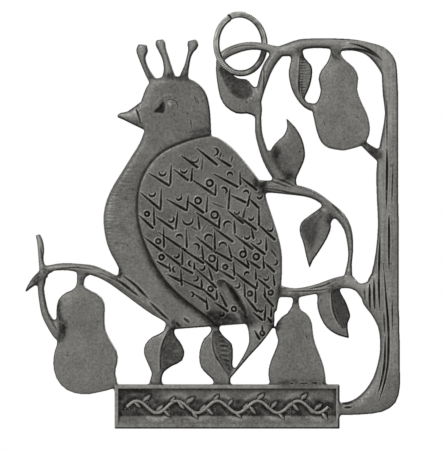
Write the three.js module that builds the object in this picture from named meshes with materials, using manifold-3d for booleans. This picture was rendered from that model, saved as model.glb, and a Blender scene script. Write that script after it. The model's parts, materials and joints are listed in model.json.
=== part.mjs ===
// Bird-in-a-fruit-tree ornament: a flat-backed openwork metal casting on a round wire ring.
// Every outline is drawn on one sheet, as seen from the front, in millimetres. u runs to the right
// and v up from the lower left corner of the name bar. Depth runs from the flat back to the viewer.
import * as THREE from 'three';
import { mergeVertices } from 'three/addons/utils/BufferGeometryUtils.js';
import Module from 'manifold-3d';

const wasm = await Module();
wasm.setup();

// Driving dimensions, mm
const bar = { length: 41.5, height: 8, depth: 2.6, rim: 0.65, footRim: 0.35, recess: 0.7 };
// `turn` swings the ring's left side to the front, `openingAt` is where its ends meet, both in degrees.
// The ring hangs just over the leaf beside its arch, a little past that leaf's shoulder.
const ring = { bore: 9.6, wire: 1.2, opening: 0.35, openingAt: 126, turn: 34, overLeaf: 0.3, pastLeaf: 0.5,
  ahead: 0.3 };
// `edge` and `crown` are depths, and a piece has its whole crown where it is `fullAt` wide or wider
const branchDepth = { edge: 0.9, crown: 2.0, fullAt: 1.4 };
const trunkDepth = { edge: 1.1, crown: 2.3, fullAt: 2.4 };
const leafDepth = { edge: 1.2, vein: 1.9, fullAt: 3 };
const pearDepth = { edge: 1.2, crown: 2.5, fullAt: 7 };
const headDepth = { edge: 1.2, crown: 2.35, fullAt: 8 };
const beakDepth = { edge: 0.9, crown: 1.9, fullAt: 3 };
const tailDepth = { edge: 1.3, crown: 2.1, fullAt: 4 };
const bodyDepth = { edge: 1.1, flat: 2.0, roundOver: 2.4 };
const eye = { fromFace: 6.45, underCrown: 5.5, width: 2.5, height: 2.2, proud: 0.3 };
const wing = { thickness: 1.1, edgeDrop: 0.5, roundOver: 1.2 };
const wingGroove = { width: 0.45, depth: 0.45 };
const facesAcross = { broad: 8, usual: 6, small: 4 }; // how many flat faces make a round front
const bite = 1.2; // how far a piece is drawn into its neighbour before the neighbour is cut out of it
const backPlane = branchDepth.crown / 2; // the flat back lies this far behind the middle of the arch

const footing = bar.height - bar.rim / 2; // leaves and fruit stand this deep in the bar's top rim

// Looks
const pewter = { color: 0x74726e, roughness: 0.42, metalness: 0.9 };
const ringWire = { color: 0xa9a8a5, roughness: 0.3, metalness: 0.95 };

// Lines of the bird, each from the top down
const faceLine = [[9.6, 65], [7.6, 64.6], [6.3, 63.7], [5.5, 62.3], [4.8, 60.3], [4, 59], [4.7, 57],
    [5.5, 55.1]];
const napeLine = [[10.8, 65.1], [13, 64.8], [14.8, 64.1], [16.1, 63], [17, 61.5], [17.5, 59.2],
    [17.7, 56.8],
  [17.8, 54]];
const breastLine = [[5.5, 55.1], [4.6, 52.7], [3.1, 50.3], [1.5, 47.7], [-0.3, 44.8], [-1.5, 42.2],
  [-2.1, 39.4], [-2, 36.8], [-1.5, 34.2], [-0.6, 32], [0.7, 29.6], [0.7, 27.4], [3.1, 24.8], [6.5, 22.2],
  [9, 20.2], [11.3, 18.3]];
const backLine = [[17.7, 54], [19.4, 53.5], [21.8, 51.7], [24.2, 49], [26.1, 46.6], [27.4, 44.6],
    [28.1, 42],
  [29.2, 38.7], [30.2, 35.5], [30.8, 32.6], [30.9, 29.6], [30.7, 26.1], [30.1, 22.9], [29.8, 21],
    [29.5, 19.7]];
const wingFront = [[17.1, 53.9], [15, 53.5], [12, 52.5], [9.2, 51.2], [7.2, 49.5], [5.7, 47.4], [4.7, 45],
  [4.3, 42.4], [4.3, 39.6], [4.8, 36.6], [5.9, 33.5], [7.6, 30], [9.8, 26.8], [12.6, 24.1], [15.5, 21.9],
  [17.4, 20.4], [18.8, 19]];
const wingTipLine = [[19.4, 28.3], [19.9, 26.8], [21.1, 25.2], [22.4, 23.1], [23.6, 20.5], [24.2, 18.6]];

// Flat pieces with a left and a right edge, drawn from the root to the tip
const beakShape = { left: [[4.6, 60.2], [2.4, 58.6], [1.1, 58.3], [0.5, 57.9]],
  right: [[6.2, 54.8], [3.5, 56.1], [1.7, 57], [0.5, 57.5]] };
const tailShape = { left: [[23.6, 20.4], [24.5, 18.7], [24.8, 17.2], [24.8, 15.7], [24.2, 14.1],
    [23.1, 12.2], [21.3, 9.4]],
  right: [[29.8, 20], [29.1, 18.5], [28, 16.9], [26.8, 15.4], [25.3, 13.8], [23.9, 12.2], [21.5, 9.4]] };
const leafShapes = {
  leaf_hanger: { left: [[18.8, 68.4], [18.7, 66.2], [19, 63.6], [19.5, 61.2], [20.6, 59.4],
    [22.6, 58.2], [24.5, 58.2], [25.9, 57.6], [27, 56.4]],
    vein: [[19.3, 68.3], [20.1, 65.9], [21.2, 63.9], [22.3, 62.6], [23.3, 61.8], [24.4, 61.4],
    [25.6, 60.7], [26.5, 59.6], [27.2, 58]],
    right: [[19.9, 68.2], [21.4, 65.8], [22.7, 64.7], [24.3, 64.5], [25.2, 63.6], [25.8, 63],
    [26.7, 62.6], [27, 60.9], [27.2, 59]] },
  leaf_top: { left: [[32.5, 69.6], [32.6, 68.1], [32.2, 66.2], [32.3, 64.4], [32.9, 62.3],
    [33.9, 60.6], [35.1, 59.3], [36.6, 58.6], [37.9, 58.3]],
    vein: [[34.2, 69.9], [34.3, 68.3], [34.4, 66.6], [34.3, 64.9], [34.2, 63.1], [34.4, 61.5],
    [34.9, 60.4], [36, 59.6], [37.9, 59.2]],
    right: [[34.6, 70.4], [35, 68.6], [36.2, 67.2], [36.5, 65.9], [36.2, 63.8], [35.6, 62.2],
    [35.1, 61], [35.9, 60.1], [37.9, 60.1]] },
  leaf_upright: { left: [[29.7, 45.1], [29, 47], [28.5, 49], [28.8, 51.3], [29.9, 52.9], [31.3, 54.2],
    [31.9, 55.8], [31.7, 57.3]],
    vein: [[31.8, 44.6], [31.3, 46.4], [31.4, 48.5], [31.8, 50.7], [32.3, 52.5], [32.5, 54.4],
    [32.4, 55.9], [31.7, 57.3]],
    right: [[33.7, 44.6], [33.5, 46.1], [34.3, 47.9], [35.1, 50], [35, 52], [34.4, 53.9],
    [33.3, 55.7], [31.7, 57.3]] },
  leaf_hanging: { left: [[39.3, 41.9], [37.7, 40.5], [35.9, 39.2], [34.5, 38], [34.2, 36.3],
    [34.9, 34.1], [35.4, 31.8], [36, 29.6]],
    vein: [[40, 40.9], [38.5, 39.8], [37.3, 38.6], [36.5, 37], [36.4, 35.3], [36.4, 33.5],
    [36.1, 31.4], [36, 29.6]],
    right: [[41.3, 39.4], [40, 38.2], [39.9, 36.8], [39.2, 35.1], [38.4, 33.7], [37.5, 32.3],
    [36.6, 31], [36, 29.6]] },
  leaf_lower_right: { left: [[37.6, 25.9], [37.5, 24.1], [37.5, 22.4], [38.1, 20.4], [39.2, 18.6],
    [41, 17.3], [43.3, 16.6]],
    vein: [[40, 26.1], [40.1, 24.2], [40.5, 22.6], [41, 21], [41.6, 19.4], [42.4, 18.1], [43.3, 16.6]],
    right: [[41.2, 26.4], [41.8, 24.9], [42.6, 23.5], [43.2, 22], [43.5, 20.6], [43, 19.1],
    [43.3, 16.6]] },
  leaf_foot_left: { left: [[9.5, 20], [9, 17.9], [6.9, 16.8], [5.6, 15.4], [5.4, 13.7], [6.2, 11.7],
    [6.8, 10.2], [6.6, 9.1], [6.2, footing]],
    vein: [[10.2, 19.7], [9.6, 17.8], [8.9, 16.1], [8.6, 14.1], [8.5, 12.4], [8.2, 11], [7.8, 9.6],
    [7.6, 8.7], [7.6, footing]],
    right: [[10.9, 19.4], [11, 17.3], [12, 15.9], [12.8, 14.1], [12.3, 12.4], [10.4, 11.4], [9, 10.3],
    [8.6, 8.9], [8.9, footing]] },
  leaf_foot_right: { left: [[17.7, 20.4], [17.8, 17.9], [16.5, 16.5], [15.8, 14.8], [15.6, 12.9],
    [16, 11.1], [17.3, 9.7], [18.2, 8.8], [18.3, footing]],
    vein: [[18.7, 20.4], [18.6, 17.9], [18.6, 16.3], [18.8, 14.6], [19.3, 12.9], [20, 11.5],
    [20.7, 10.3], [20.8, 9], [20.9, footing]],
    right: [[19.4, 20.4], [19.3, 18.1], [20.5, 16.6], [21.6, 15.5], [21.8, 13.5], [21.7, 11.8],
    [21.8, 10.7], [21.3, 9.2], [21.5, footing]] }
};
const pearShapes = {
  pear_top: { left: [[39.9, 71], [39.9, 69.2], [39.2, 67.5], [38.2, 66.2], [37.7, 64.6], [38.1, 62.5],
    [37.6, 60.7], [36.6, 59], [36.9, 57], [37.4, 54.8], [38.2, 52.9], [39.6, 51.8], [41.8, 51.4]],
    right: [[41.7, 71], [41.8, 69.2], [42.9, 67.8], [44.3, 66.6], [45, 64.8], [44.8, 62.7],
    [45.5, 60.5], [46.5, 58.4], [47.1, 56.2], [47, 54.2], [46.1, 52.6], [44.6, 51.9], [42.6, 51.4]] },
  pear_left: { left: [[-7.1, 29.4], [-7, 27], [-7.6, 25.7], [-9.1, 25], [-10.4, 23.8], [-10.8, 22],
    [-10.8, 20], [-10.6, 17.8], [-10.7, 15.6], [-11.2, 13.9], [-11.4, 11.8], [-10.9, 9.4],
    [-9.4, 7.4], [-7.2, 6.4], [-5.4, 6.3]],
    right: [[-5.8, 29.4], [-6, 27], [-5.2, 25.7], [-3.5, 24.9], [-2.2, 23.7], [-1.9, 22], [-2, 20],
    [-1.7, 17.8], [-0.6, 15.7], [0.4, 13.9], [0.4, 12], [0, 10.4], [0.3, 8.8], [0.1, 7.5],
    [-2.2, 6.8], [-4.6, 6.3]] },
  pear_right: { left: [[32.9, 25.4], [32.9, 23.1], [32.2, 21.6], [30.5, 20.4], [29.7, 19.1],
    [29.8, 17.6], [30.2, 16.1], [29.7, 14.4], [28.8, 12.2], [28.4, 10.2], [28.7, 8.2],
    [29.1, footing]],
    right: [[34, 25.4], [34, 23.1], [34.4, 21.9], [35.7, 20.9], [36.4, 19.4], [36.6, 17.6],
    [37, 15.7], [37.7, 13.9], [38.5, 11.7], [38.9, 9.6], [39, 8.2], [39.1, footing]] }
};
const trunkShapes = {
  trunk: { left: [[49.4, 65.5], [49.6, 61.6], [50, 58.3], [49.5, 54.8], [48.8, 51.1], [48.4, 47.4],
    [48.5, 42.2], [48.7, 37.6], [48.3, 32.6], [47.5, 28.6], [46.4, 26.8], [45.7, 24.6], [46, 22.9],
    [47.4, 21.1], [48.7, 18.7], [49.1, 16], [49, 13.6], [48.6, 11.6]],
    right: [[52.2, 65.9], [52.4, 61.6], [52.4, 58.3], [52.4, 54.8], [52.4, 51.1], [52.4, 47.4],
    [52.4, 42.2], [52.5, 37.6], [52.5, 32.6], [52.5, 28.6], [52.5, 26], [52.5, 24], [52.5, 22],
    [52.6, 20], [52.6, 17.8], [52.7, 15.4], [52.7, 13], [52.7, 10.6]] },
  trunk_top_bend: { left: [[49.4, 65.5], [48.5, 67], [47.4, 68.3], [46.3, 69.2], [45, 69.7],
    [43.5, 69.9], [42.2, 69.8]],
    right: [[52.2, 65.9], [52, 67.6], [51.2, 69.2], [49.7, 70.5], [47.5, 71.2], [44.8, 71.8],
    [42.2, 72]] },
  trunk_foot: { left: [[48.6, 11.6], [47.8, 9.2], [46.3, 6.9], [44.6, 5.4], [43.1, 4.8],
    [bar.length, 4.6], [bar.length - bite, 4.5]],
    right: [[52.7, 10.6], [52.7, 7.6], [51.9, 4.7], [49.4, 3], [45.4, 2.5], [bar.length, 2.4],
    [bar.length - bite, 2.4]] }
};

// Round-fronted pieces along a centre line, as [u, v, half width]
const branchRoutes = {
  top_branch: [[43.4, 70.9, 1.05], [40.7, 71.1, 0.96], [37, 71.2, 0.87], [34.2, 70.9, 1],
    [32, 70, 1.15], [30.2, 69.7, 0.85]],
  upper_stem: [[30.7, 69.9, 0.93], [29.2, 68.2, 0.98], [28.1, 66.3, 0.95], [27.4, 64.2, 0.85],
    [26.8, 62, 0.7],
    [26.4, 59.6, 0.55], [26.5, 57, 0.57], [26.6, 54.6, 0.63], [27.2, 52.2, 0.68], [28, 50, 0.78],
    [29.1, 47.9, 0.83], [30.5, 45.9, 0.93]],
  hanger_branch: [[31.3, 69.7, 0.83], [29.6, 69.9, 0.78], [27.9, 70.4, 0.67], [26.1, 70.7, 0.67],
    [24.1, 70.6, 0.74],
    [22, 70, 0.8], [20.4, 69.2, 0.8], [19.2, 68, 0.7]],
  middle_branch: [[25.7, 45.1, 0.93], [27.2, 44.7, 1.11], [29.6, 44.6, 1.11], [32.2, 44.2, 1],
    [34.6, 43.8, 0.87],
    [36.6, 43.2, 0.74], [38.3, 42.2, 0.67], [40.1, 40.6, 0.81], [41.8, 39, 0.85], [43, 37, 0.68],
    [43.5, 34.6, 0.55], [43.6, 32.2, 0.4], [43.4, 30.3, 0.41], [43.2, 28.3, 0.7]],
  lower_branch: [[29.8, 25.4, 1.2], [31.8, 25.1, 0.89], [33.7, 25, 0.83], [35.9, 25.4, 0.78],
    [38.1, 25.9, 0.89],
    [40.3, 26.6, 1], [42.4, 27, 1.1], [44.6, 26.6, 1.1], [47.4, 25, 1.5]],
  left_branch: [[-13.9, 29.5, 0.59], [-12.4, 29.5, 0.55], [-10.4, 29.8, 0.61], [-8.3, 29.8, 0.67],
    [-6.3, 29.5, 0.81],
    [-4.3, 29.2, 0.89], [-2.2, 28.4, 0.87], [-0.2, 27.3, 0.93], [2, 25.8, 1], [4.6, 23.9, 1.04],
    [7.2, 22, 1], [9.4, 20.5, 0.81], [10.9, 18.9, 0.7]],
  left_twig: [[-13.4, 29.4, 0.6], [-13.7, 31.1, 0.42], [-13.7, 32.9, 0.55], [-13.9, 34.5, 0.52],
    [-14.3, 35.7, 0.38]],
  left_thorn: [[-13, 28.7, 0.93], [-14.6, 27.4, 0.74], [-15.7, 26.3, 0.41], [-16.5, 25.3, 0.11]],
  left_tendril: [[-13.2, 29.2, 0.67], [-13.6, 27.6, 0.57], [-13.7, 25.5, 0.55], [-13.4, 23.3, 0.59],
    [-12.9, 21.1, 0.67], [-11.8, 19.1, 0.81], [-10.6, 17.5, 1.0], [-9.6, 16.6, 1.0]],
  pear_top_calyx: [[45.4, 53.1, 0.4], [47.2, 51.6, 0.7], [49.4, 50, 1.0]]
};
const crestRoutes = {
  crest_left: [[7.4, 63.6, 0.8], [6.2, 65.5, 0.56], [5.4, 67.2, 0.5], [5, 68.6, 0.65],
    [5, 69.8, 1.06], [5.1, 70.9, 0.75]],
  crest_middle: [[10, 63.8, 1.7], [9.9, 65.7, 0.96], [9.7, 67, 0.7], [9.3, 68.6, 0.61], [8.7, 70.1, 0.72],
    [8.4, 71.1, 0.9], [8.3, 71.8, 0.6]],
  crest_right: [[12.6, 63.8, 1.02], [12.9, 65.6, 0.67], [13.3, 67, 0.43], [13.7, 68.8, 0.37],
    [14.1, 69.9, 0.57],
    [14.4, 70.9, 1.03], [14.2, 71.7, 0.7]]
};

// Turns a closed geometry into a solid that can be cut
function toSolid(geometry) {
  const plain = geometry.index ? geometry : geometry.clone();
  plain.deleteAttribute('normal');
  plain.deleteAttribute('uv');
  const merged = mergeVertices(plain, 1e-4);
  return new wasm.Manifold(new wasm.Mesh({
    numProp: 3,
    vertProperties: new Float32Array(merged.attributes.position.array),
    triVerts: new Uint32Array(merged.index.array)
  }));
}

function toGeometry(solid) {
  const mesh = solid.getMesh();
  const geometry = new THREE.BufferGeometry();
  geometry.setAttribute('position', new THREE.BufferAttribute(new Float32Array(mesh.vertProperties), 3));
  geometry.setIndex(new THREE.BufferAttribute(new Uint32Array(mesh.triVerts), 1));
  geometry.computeVertexNormals();
  return geometry;
}

// Skins a row of equal rings and closes both ends. Each ring point is [u, v, depth].
function loft(rings) {
  const count = rings[0].length;
  const triangles = [];
  for (let i = 0; i + 1 < rings.length; i++) {
    for (let j = 0; j < count; j++) {
      const a = i * count + j;
      const b = i * count + (j + 1) % count;
      triangles.push(a, b, a + count, b, b + count, a + count);
    }
  }
  const flat = (points) => points.map(([u, v, depth]) =>
    new THREE.Vector2(Math.hypot(u - points[0][0], v - points[0][1]), depth));
  const cap = (points) => THREE.ShapeUtils.triangulateShape(flat(points), []);
  const lastStart = (rings.length - 1) * count;
  for (const [a, b, c] of cap(rings[0])) triangles.push(a, b, c);
  for (const [a, b, c] of cap(rings.at(-1))) triangles.push(lastStart + c, lastStart + b, lastStart + a);
  const geometry = new THREE.BufferGeometry();
  geometry.setAttribute('position', new THREE.BufferAttribute(new Float32Array(rings.flat(2)), 3));
  geometry.setIndex(triangles);
  return geometry;
}

// Sections across a piece: lists of [share of the way across, depth] for a given width
const rounded = ({ edge, crown, fullAt }, steps = facesAcross.usual) => (width) => {
  const rise = (crown - edge) * Math.min(1, width / fullAt);
  return Array.from({ length: steps + 1 }, (_, i) => {
    const angle = Math.PI * i / steps;
    return [(1 - Math.cos(angle)) / 2, edge + rise * Math.sin(angle)];
  });
};
const veined = ({ edge, vein, fullAt }) => (width) => {
  const rise = (vein - edge) * Math.min(1, width / fullAt);
  return [[0, edge], [0.26, edge + rise * 0.45], [0.44, edge + rise * 0.55], [0.5, edge + rise],
    [0.56, edge + rise * 0.55], [0.74, edge + rise * 0.45], [1, edge]];
};
const flatFront = ({ edge, flat, roundOver, roundRight }) => (width) => {
  const share = Math.min(0.3, roundOver / width);
  const left = [[0, edge], [share * 0.2, edge + (flat - edge) * 0.6],
    [share * 0.5, edge + (flat - edge) * 0.87],
    [share, flat]];
  const right = roundRight ? left.map(([across, depth]) => [1 - across, depth]).reverse() : [[1, flat]];
  return [...left, ...right];
};

// A relief between two edge lines, or between two edges and a vein, standing on the plane `base`
function strip({ left, right, vein }, section, { rungs = 16, last = 1, base = 0 } = {}) {
  const curve = (points) => new THREE.SplineCurve(points.map((p) => new THREE.Vector2(...p)));
  const [leftCurve, rightCurve] = [curve(left), curve(right)];
  const veinCurve = vein && curve(vein);
  const rings = [];
  for (let i = 0; i <= rungs; i++) {
    const t = last * i / rungs;
    const [a, b] = [leftCurve.getPoint(t), rightCurve.getPoint(t)];
    const middle = veinCurve ? veinCurve.getPoint(t) : a.clone().lerp(b, 0.5);
    const front = section(a.distanceTo(b)).map(([share, depth]) => {
      const p = share < 0.5 ? a.clone().lerp(middle, share * 2) : middle.clone().lerp(b, share * 2 - 1);
      return [p.x, p.y, depth];
    });
    rings.push([[a.x, a.y, base], ...front, [b.x, b.y, base]]);
  }
  return outward(loft(rings));
}

// A round-fronted branch along a centre line whose points also give its half width
function branch(route, section, { rungs = 16, base = 0 } = {}) {
  const points = route.map((p) => new THREE.Vector3(...p));
  const line = new THREE.CatmullRomCurve3(points, false, 'catmullrom', 0.5);
  const edges = { left: [], right: [] };
  for (let i = 0; i <= rungs; i++) {
    const p = line.getPoint(i / rungs);
    const tangent = line.getTangent(i / rungs);
    const across = new THREE.Vector2(-tangent.y, tangent.x).normalize().multiplyScalar(p.z);
    edges.left.push([p.x - across.x, p.y - across.y]);
    edges.right.push([p.x + across.x, p.y + across.y]);
  }
  return strip(edges, section, { rungs, base });
}

// Turns a skin the right way out if its edges were drawn the other way round
function outward(geometry) {
  const position = geometry.attributes.position;
  const index = geometry.index.array;
  const corner = (k) => new THREE.Vector3().fromBufferAttribute(position, index[k]);
  let volume = 0;
  for (let i = 0; i < index.length; i += 3) volume += corner(i).dot(corner(i + 1).cross(corner(i + 2)));
  if (volume < 0) geometry.setIndex(Array.from(index).reverse());
  return toSolid(geometry);
}

function block(width, height, depth, [u, v, from]) {
  const geometry = new THREE.BoxGeometry(width, height, depth);
  geometry.translate(u + width / 2, v + height / 2, from + depth / 2);
  return toSolid(geometry);
}

function nameBar() {
  const solid = block(bar.length, bar.height, bar.depth, [0, 0, 0]);
  const recess = block(bar.length - 2 * bar.rim, bar.height - bar.rim - bar.footRim, bar.depth,
    [bar.rim, bar.footRim, bar.depth - bar.recess]);
  return solid.subtract(recess);
}

function birdWing() {
  const front = bodyDepth.flat + wing.thickness;
  const depths = { edge: front - wing.edgeDrop, flat: front, roundOver: wing.roundOver };
  const section = flatFront({ ...depths, roundRight: true });
  const edges = { left: wingFront, right: backLine };
  const whole = strip(edges, section, { rungs: 30, base: bodyDepth.flat });
  const above = front + wingGroove.depth;
  const groove = branch(wingTipLine.map((point) => [...point, wingGroove.width / 2]),
    () => [[0, above], [1, above]], { rungs: 10, base: front - wingGroove.depth });
  return whole.subtract(groove);
}

// The head with its eye, a low dome that stands proud of the head's crown
function birdHead() {
  const head = strip({ left: faceLine, right: napeLine }, rounded(headDepth, facesAcross.broad), { rungs: 14 });
  const dome = new THREE.SphereGeometry(0.5, 16, 10);
  dome.rotateX(Math.PI / 2);
  dome.scale(eye.width, eye.height, 2 * (headDepth.crown - headDepth.edge + eye.proud));
  const faceAtEye = Math.min(...faceLine.map(([u]) => u));
  dome.translate(faceAtEye + eye.fromFace, napeLine[0][1] - eye.underCrown, headDepth.edge);
  return head.add(toSolid(dome));
}

// The wire ring, drawn round its own middle: open for a short way where its ends meet
class RingLine extends THREE.Curve {
  getPoint(t, target = new THREE.Vector3()) {
    const radius = (ring.bore + ring.wire) / 2;
    const halfOpening = ring.opening / 2 / radius;
    const start = THREE.MathUtils.degToRad(ring.openingAt) + halfOpening;
    const angle = start + t * 2 * (Math.PI - halfOpening);
    return target.set(radius * Math.cos(angle), radius * Math.sin(angle), 0);
  }
}
function wireRing() {
  const section = new THREE.Shape();
  section.absarc(0, 0, ring.wire / 2, 0, 2 * Math.PI);
  const geometry = new THREE.ExtrudeGeometry(section, {
    steps: 40, curveSegments: 10, bevelEnabled: false, extrudePath: new RingLine()
  });
  return toSolid(geometry);
}

// The casting's pieces. An earlier piece keeps its shape, and a later one is cut to fit against it.
const branchSection = rounded(branchDepth);
const leafSection = veined(leafDepth);
const pearSection = rounded(pearDepth, facesAcross.broad);
const trunkSection = rounded(trunkDepth);
const drawn = [
  ['name_bar', nameBar()],
  ['partridge_body', strip({ left: breastLine, right: backLine }, flatFront(bodyDepth), { rungs: 30 })],
  ['partridge_wing', birdWing()],
  ['partridge_head', birdHead()],
  ['partridge_beak', strip(beakShape, rounded(beakDepth, facesAcross.small), { rungs: 6 })],
  ['partridge_tail', strip(tailShape, rounded(tailDepth), { rungs: 12 })],
  ...Object.entries(trunkShapes).map(([name, shape]) =>
    [name, strip(shape, trunkSection, { rungs: name === 'trunk' ? 34 : 12 })]),
  ...Object.entries(crestRoutes).map(([name, route]) => [name, branch(route, branchSection, { rungs: 12 })]),
  ...Object.entries(branchRoutes).map(([name, route]) =>
    [name, branch(route, branchSection, { rungs: Math.min(26, 2 * route.length) })]),
  ...Object.entries(pearShapes).map(([name, shape]) => [name, strip(shape, pearSection, { rungs: 24 })]),
  ...Object.entries(leafShapes).map(([name, shape]) => [name, strip(shape, leafSection, { last: 0.985 })])
];

// Cuts the earlier pieces out of a new one, and drops the crumbs that are left on their far sides
function fitted(solid, earlier) {
  const box = solid.boundingBox();
  const near = earlier.filter((one) => {
    const other = one.boundingBox();
    return [0, 1, 2].every((axis) => other.min[axis] < box.max[axis] && other.max[axis] > box.min[axis]);
  });
  if (!near.length) return solid;
  const bodies = solid.subtract(wasm.Manifold.union(near)).decompose();
  return bodies.reduce((best, one) => (one.volume() > best.volume() ? one : best));
}

const [leafU, leafV] = leafShapes.leaf_hanger.right[2]; // the shoulder of the leaf that the ring hangs over
const ringU = leafU + ring.pastLeaf;
const ringV = leafV + ring.overLeaf + ring.wire + ring.bore / 2;
const toWorld = new THREE.Group();
toWorld.rotation.x = Math.PI / 2;
toWorld.position.set(-ringU, backPlane, -(ringV + ring.bore / 2));

const done = [];
for (const [name, solid] of drawn) {
  done.push(fitted(solid, done));
  const mesh = new THREE.Mesh(toGeometry(done.at(-1)), new THREE.MeshStandardMaterial(pewter));
  mesh.name = name;
  toWorld.add(mesh);
}

const ringMesh = new THREE.Mesh(toGeometry(wireRing()), new THREE.MeshStandardMaterial(ringWire));
ringMesh.name = 'jump_ring';
ringMesh.position.set(ringU, ringV, backPlane + ring.ahead);
ringMesh.rotation.y = THREE.MathUtils.degToRad(ring.turn);
toWorld.add(ringMesh);

const ornament = new THREE.Group();
ornament.add(toWorld);
export default ornament;
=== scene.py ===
"""A partridge ornament: an openwork casting in antiqued pewter that hangs on a bright wire ring.

The casting is one relief, so it is shaped as one sheet of heights over its flat back. The sheet takes its
heights from the model's own pieces, is softened as a mould softens a carved pattern, is carved, and is then
cut into the pieces that it stands for. Shapes are in millimetres until they become meshes, which are in
metres. Lines and outlines are listed points, given where they lie in the photograph.
"""

import json
import math

import bpy
import numpy as np
from mathutils import Matrix, Vector
from mathutils.geometry import delaunay_2d_cdt, interpolate_bezier


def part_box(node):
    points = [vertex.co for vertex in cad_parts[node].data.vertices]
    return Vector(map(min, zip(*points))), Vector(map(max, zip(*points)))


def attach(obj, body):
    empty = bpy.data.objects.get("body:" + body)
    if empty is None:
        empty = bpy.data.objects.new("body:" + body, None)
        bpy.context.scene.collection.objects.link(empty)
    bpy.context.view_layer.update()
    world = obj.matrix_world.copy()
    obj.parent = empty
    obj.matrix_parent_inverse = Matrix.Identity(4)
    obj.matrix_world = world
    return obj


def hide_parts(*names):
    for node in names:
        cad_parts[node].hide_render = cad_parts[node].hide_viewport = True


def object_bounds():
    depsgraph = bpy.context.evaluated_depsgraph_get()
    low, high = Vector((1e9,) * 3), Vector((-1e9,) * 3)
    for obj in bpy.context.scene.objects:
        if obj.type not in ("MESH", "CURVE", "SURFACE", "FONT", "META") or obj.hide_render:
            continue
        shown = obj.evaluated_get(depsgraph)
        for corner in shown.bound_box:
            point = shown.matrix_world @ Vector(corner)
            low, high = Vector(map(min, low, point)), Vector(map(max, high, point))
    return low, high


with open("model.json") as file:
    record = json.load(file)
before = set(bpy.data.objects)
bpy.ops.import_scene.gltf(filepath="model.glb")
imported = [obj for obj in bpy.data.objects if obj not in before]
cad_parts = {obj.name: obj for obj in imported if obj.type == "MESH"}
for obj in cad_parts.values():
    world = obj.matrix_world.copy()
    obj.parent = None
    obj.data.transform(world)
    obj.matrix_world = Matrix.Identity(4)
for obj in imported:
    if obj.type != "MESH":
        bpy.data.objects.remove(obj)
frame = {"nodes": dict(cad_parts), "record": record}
cad_box = [list(corner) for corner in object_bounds()]

MM = 0.001
PIXEL = 0.185                      # mm of the ornament in one pixel of the photograph
PHOTO_CORNER = (-44.475, 3.38)     # mm across and up of the photograph's upper left corner
PHOTO_SIZE = (441, 450)
BACK = 1.0                         # mm: the flat back's place along y, and the front faces -y
STEPS = 8                          # straight pieces of a flowing line between two of its points

# The casting, in mm
SAMPLE = 0.05                      # between two heights of the sheet
FILLET = 0.4                       # radius in the inner corners, where metal filled the mould
SIDE = 0.7                         # how high the casting's sides stand before the face rolls over
ROLL = 0.36                        # how far in from the side the roll reaches
BAR_SIDE, BAR_ROLL = 2.25, 0.2     # the name bar has crisper edges
WING_ROLL, BREAST_ROLL = 0.5, 0.65
SPREAD = 0.04                      # how much the casting stands out past its pattern all round

# The ring, in mm and degrees
BORE, WIRE = 9.6, 1.2
RING_TURN, RING_AHEAD = 34, 0.3    # its turn to the casting, and how far in front of the origin it hangs
BUTT_GAP, BUTT_OFFSET = 0.22, 0.16 # between its two cut ends: along the ring, and from it outward
BUTT_AT = 118                      # where they meet, round from the right

# How the sheet is softened and darkened, in mm unless a line says otherwise
REACH = 1.5                        # how far in from the side distances are measured
SIDE_SOFT, SKIN_SOFT = 0.07, 0.07  # what the mould rounds off the outline, and off the whole face
BREAST_FALL = 1.6                  # how wide the breast falls beside the wing
WING_SHADE_LINE = 0.24                   # how wide the line of painted shade round the wing is
BAR_FLOOR_TOP = 2.2                # the name bar's face lies above this, and its panel's floor below
THIN_SHADED_RIM, SHADED_RIM = 0.24, 0.36     # how wide the painted shade on the rims is: all round, and where a side faces right and down, away from the light
BRIGHTEST = -0.42                  # the least darkness anywhere, where painted highlight and wear brighten the face most, as a share of what a deep corner holds


def at(px, py):
    """Where a point of the photograph lies on the ornament, in mm across and up."""
    return PHOTO_CORNER[0] + PIXEL * px, PHOTO_CORNER[1] - PIXEL * py


def flowing(points, closed=False):
    """A smooth line through points of the photograph, as rows of mm across and up."""
    known = np.array([at(*point) for point in points])
    before = np.roll(known, 1, 0) if closed else np.vstack([known[:1], known[:-1]])
    after = np.roll(known, -1, 0) if closed else np.vstack([known[1:], known[-1:]])
    slope = (after - before) / 6
    spans = len(known) if closed else len(known) - 1
    line = []
    for i in range(spans):
        j = (i + 1) % len(known)
        bends = [known[i], known[i] + slope[i], known[j] - slope[j], known[j]]
        line += [tuple(p) for p in interpolate_bezier(*[Vector((*b, 0)) for b in bends], STEPS + 1)[:-1]]
    if not closed:
        line.append((*known[-1], 0))
    return np.array([spot[:2] for spot in line])


# The sheet of heights

CAST = list(frame["record"]["behaviour"]["bodies"]["casting"])
low = np.min([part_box(node)[0] for node in CAST], axis=0) / MM
high = np.max([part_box(node)[1] for node in CAST], axis=0) / MM
MARGIN = 1.5                       # mm of empty sheet all round the casting
LEFT, FOOT = low[0] - MARGIN, low[2] - MARGIN
across = LEFT + SAMPLE * np.arange(int((high[0] - low[0] + 2 * MARGIN) / SAMPLE) | 1)
up = FOOT + SAMPLE * np.arange(int((high[2] - low[2] + 2 * MARGIN) / SAMPLE) | 1)


def cells(places, start, end):
    """The slice of a row of places that lies between two values, with one more at each end."""
    first = max(0, int((start - places[0]) / SAMPLE) - 1)
    return slice(first, min(len(places), int((end - places[0]) / SAMPLE) + 3))


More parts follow.
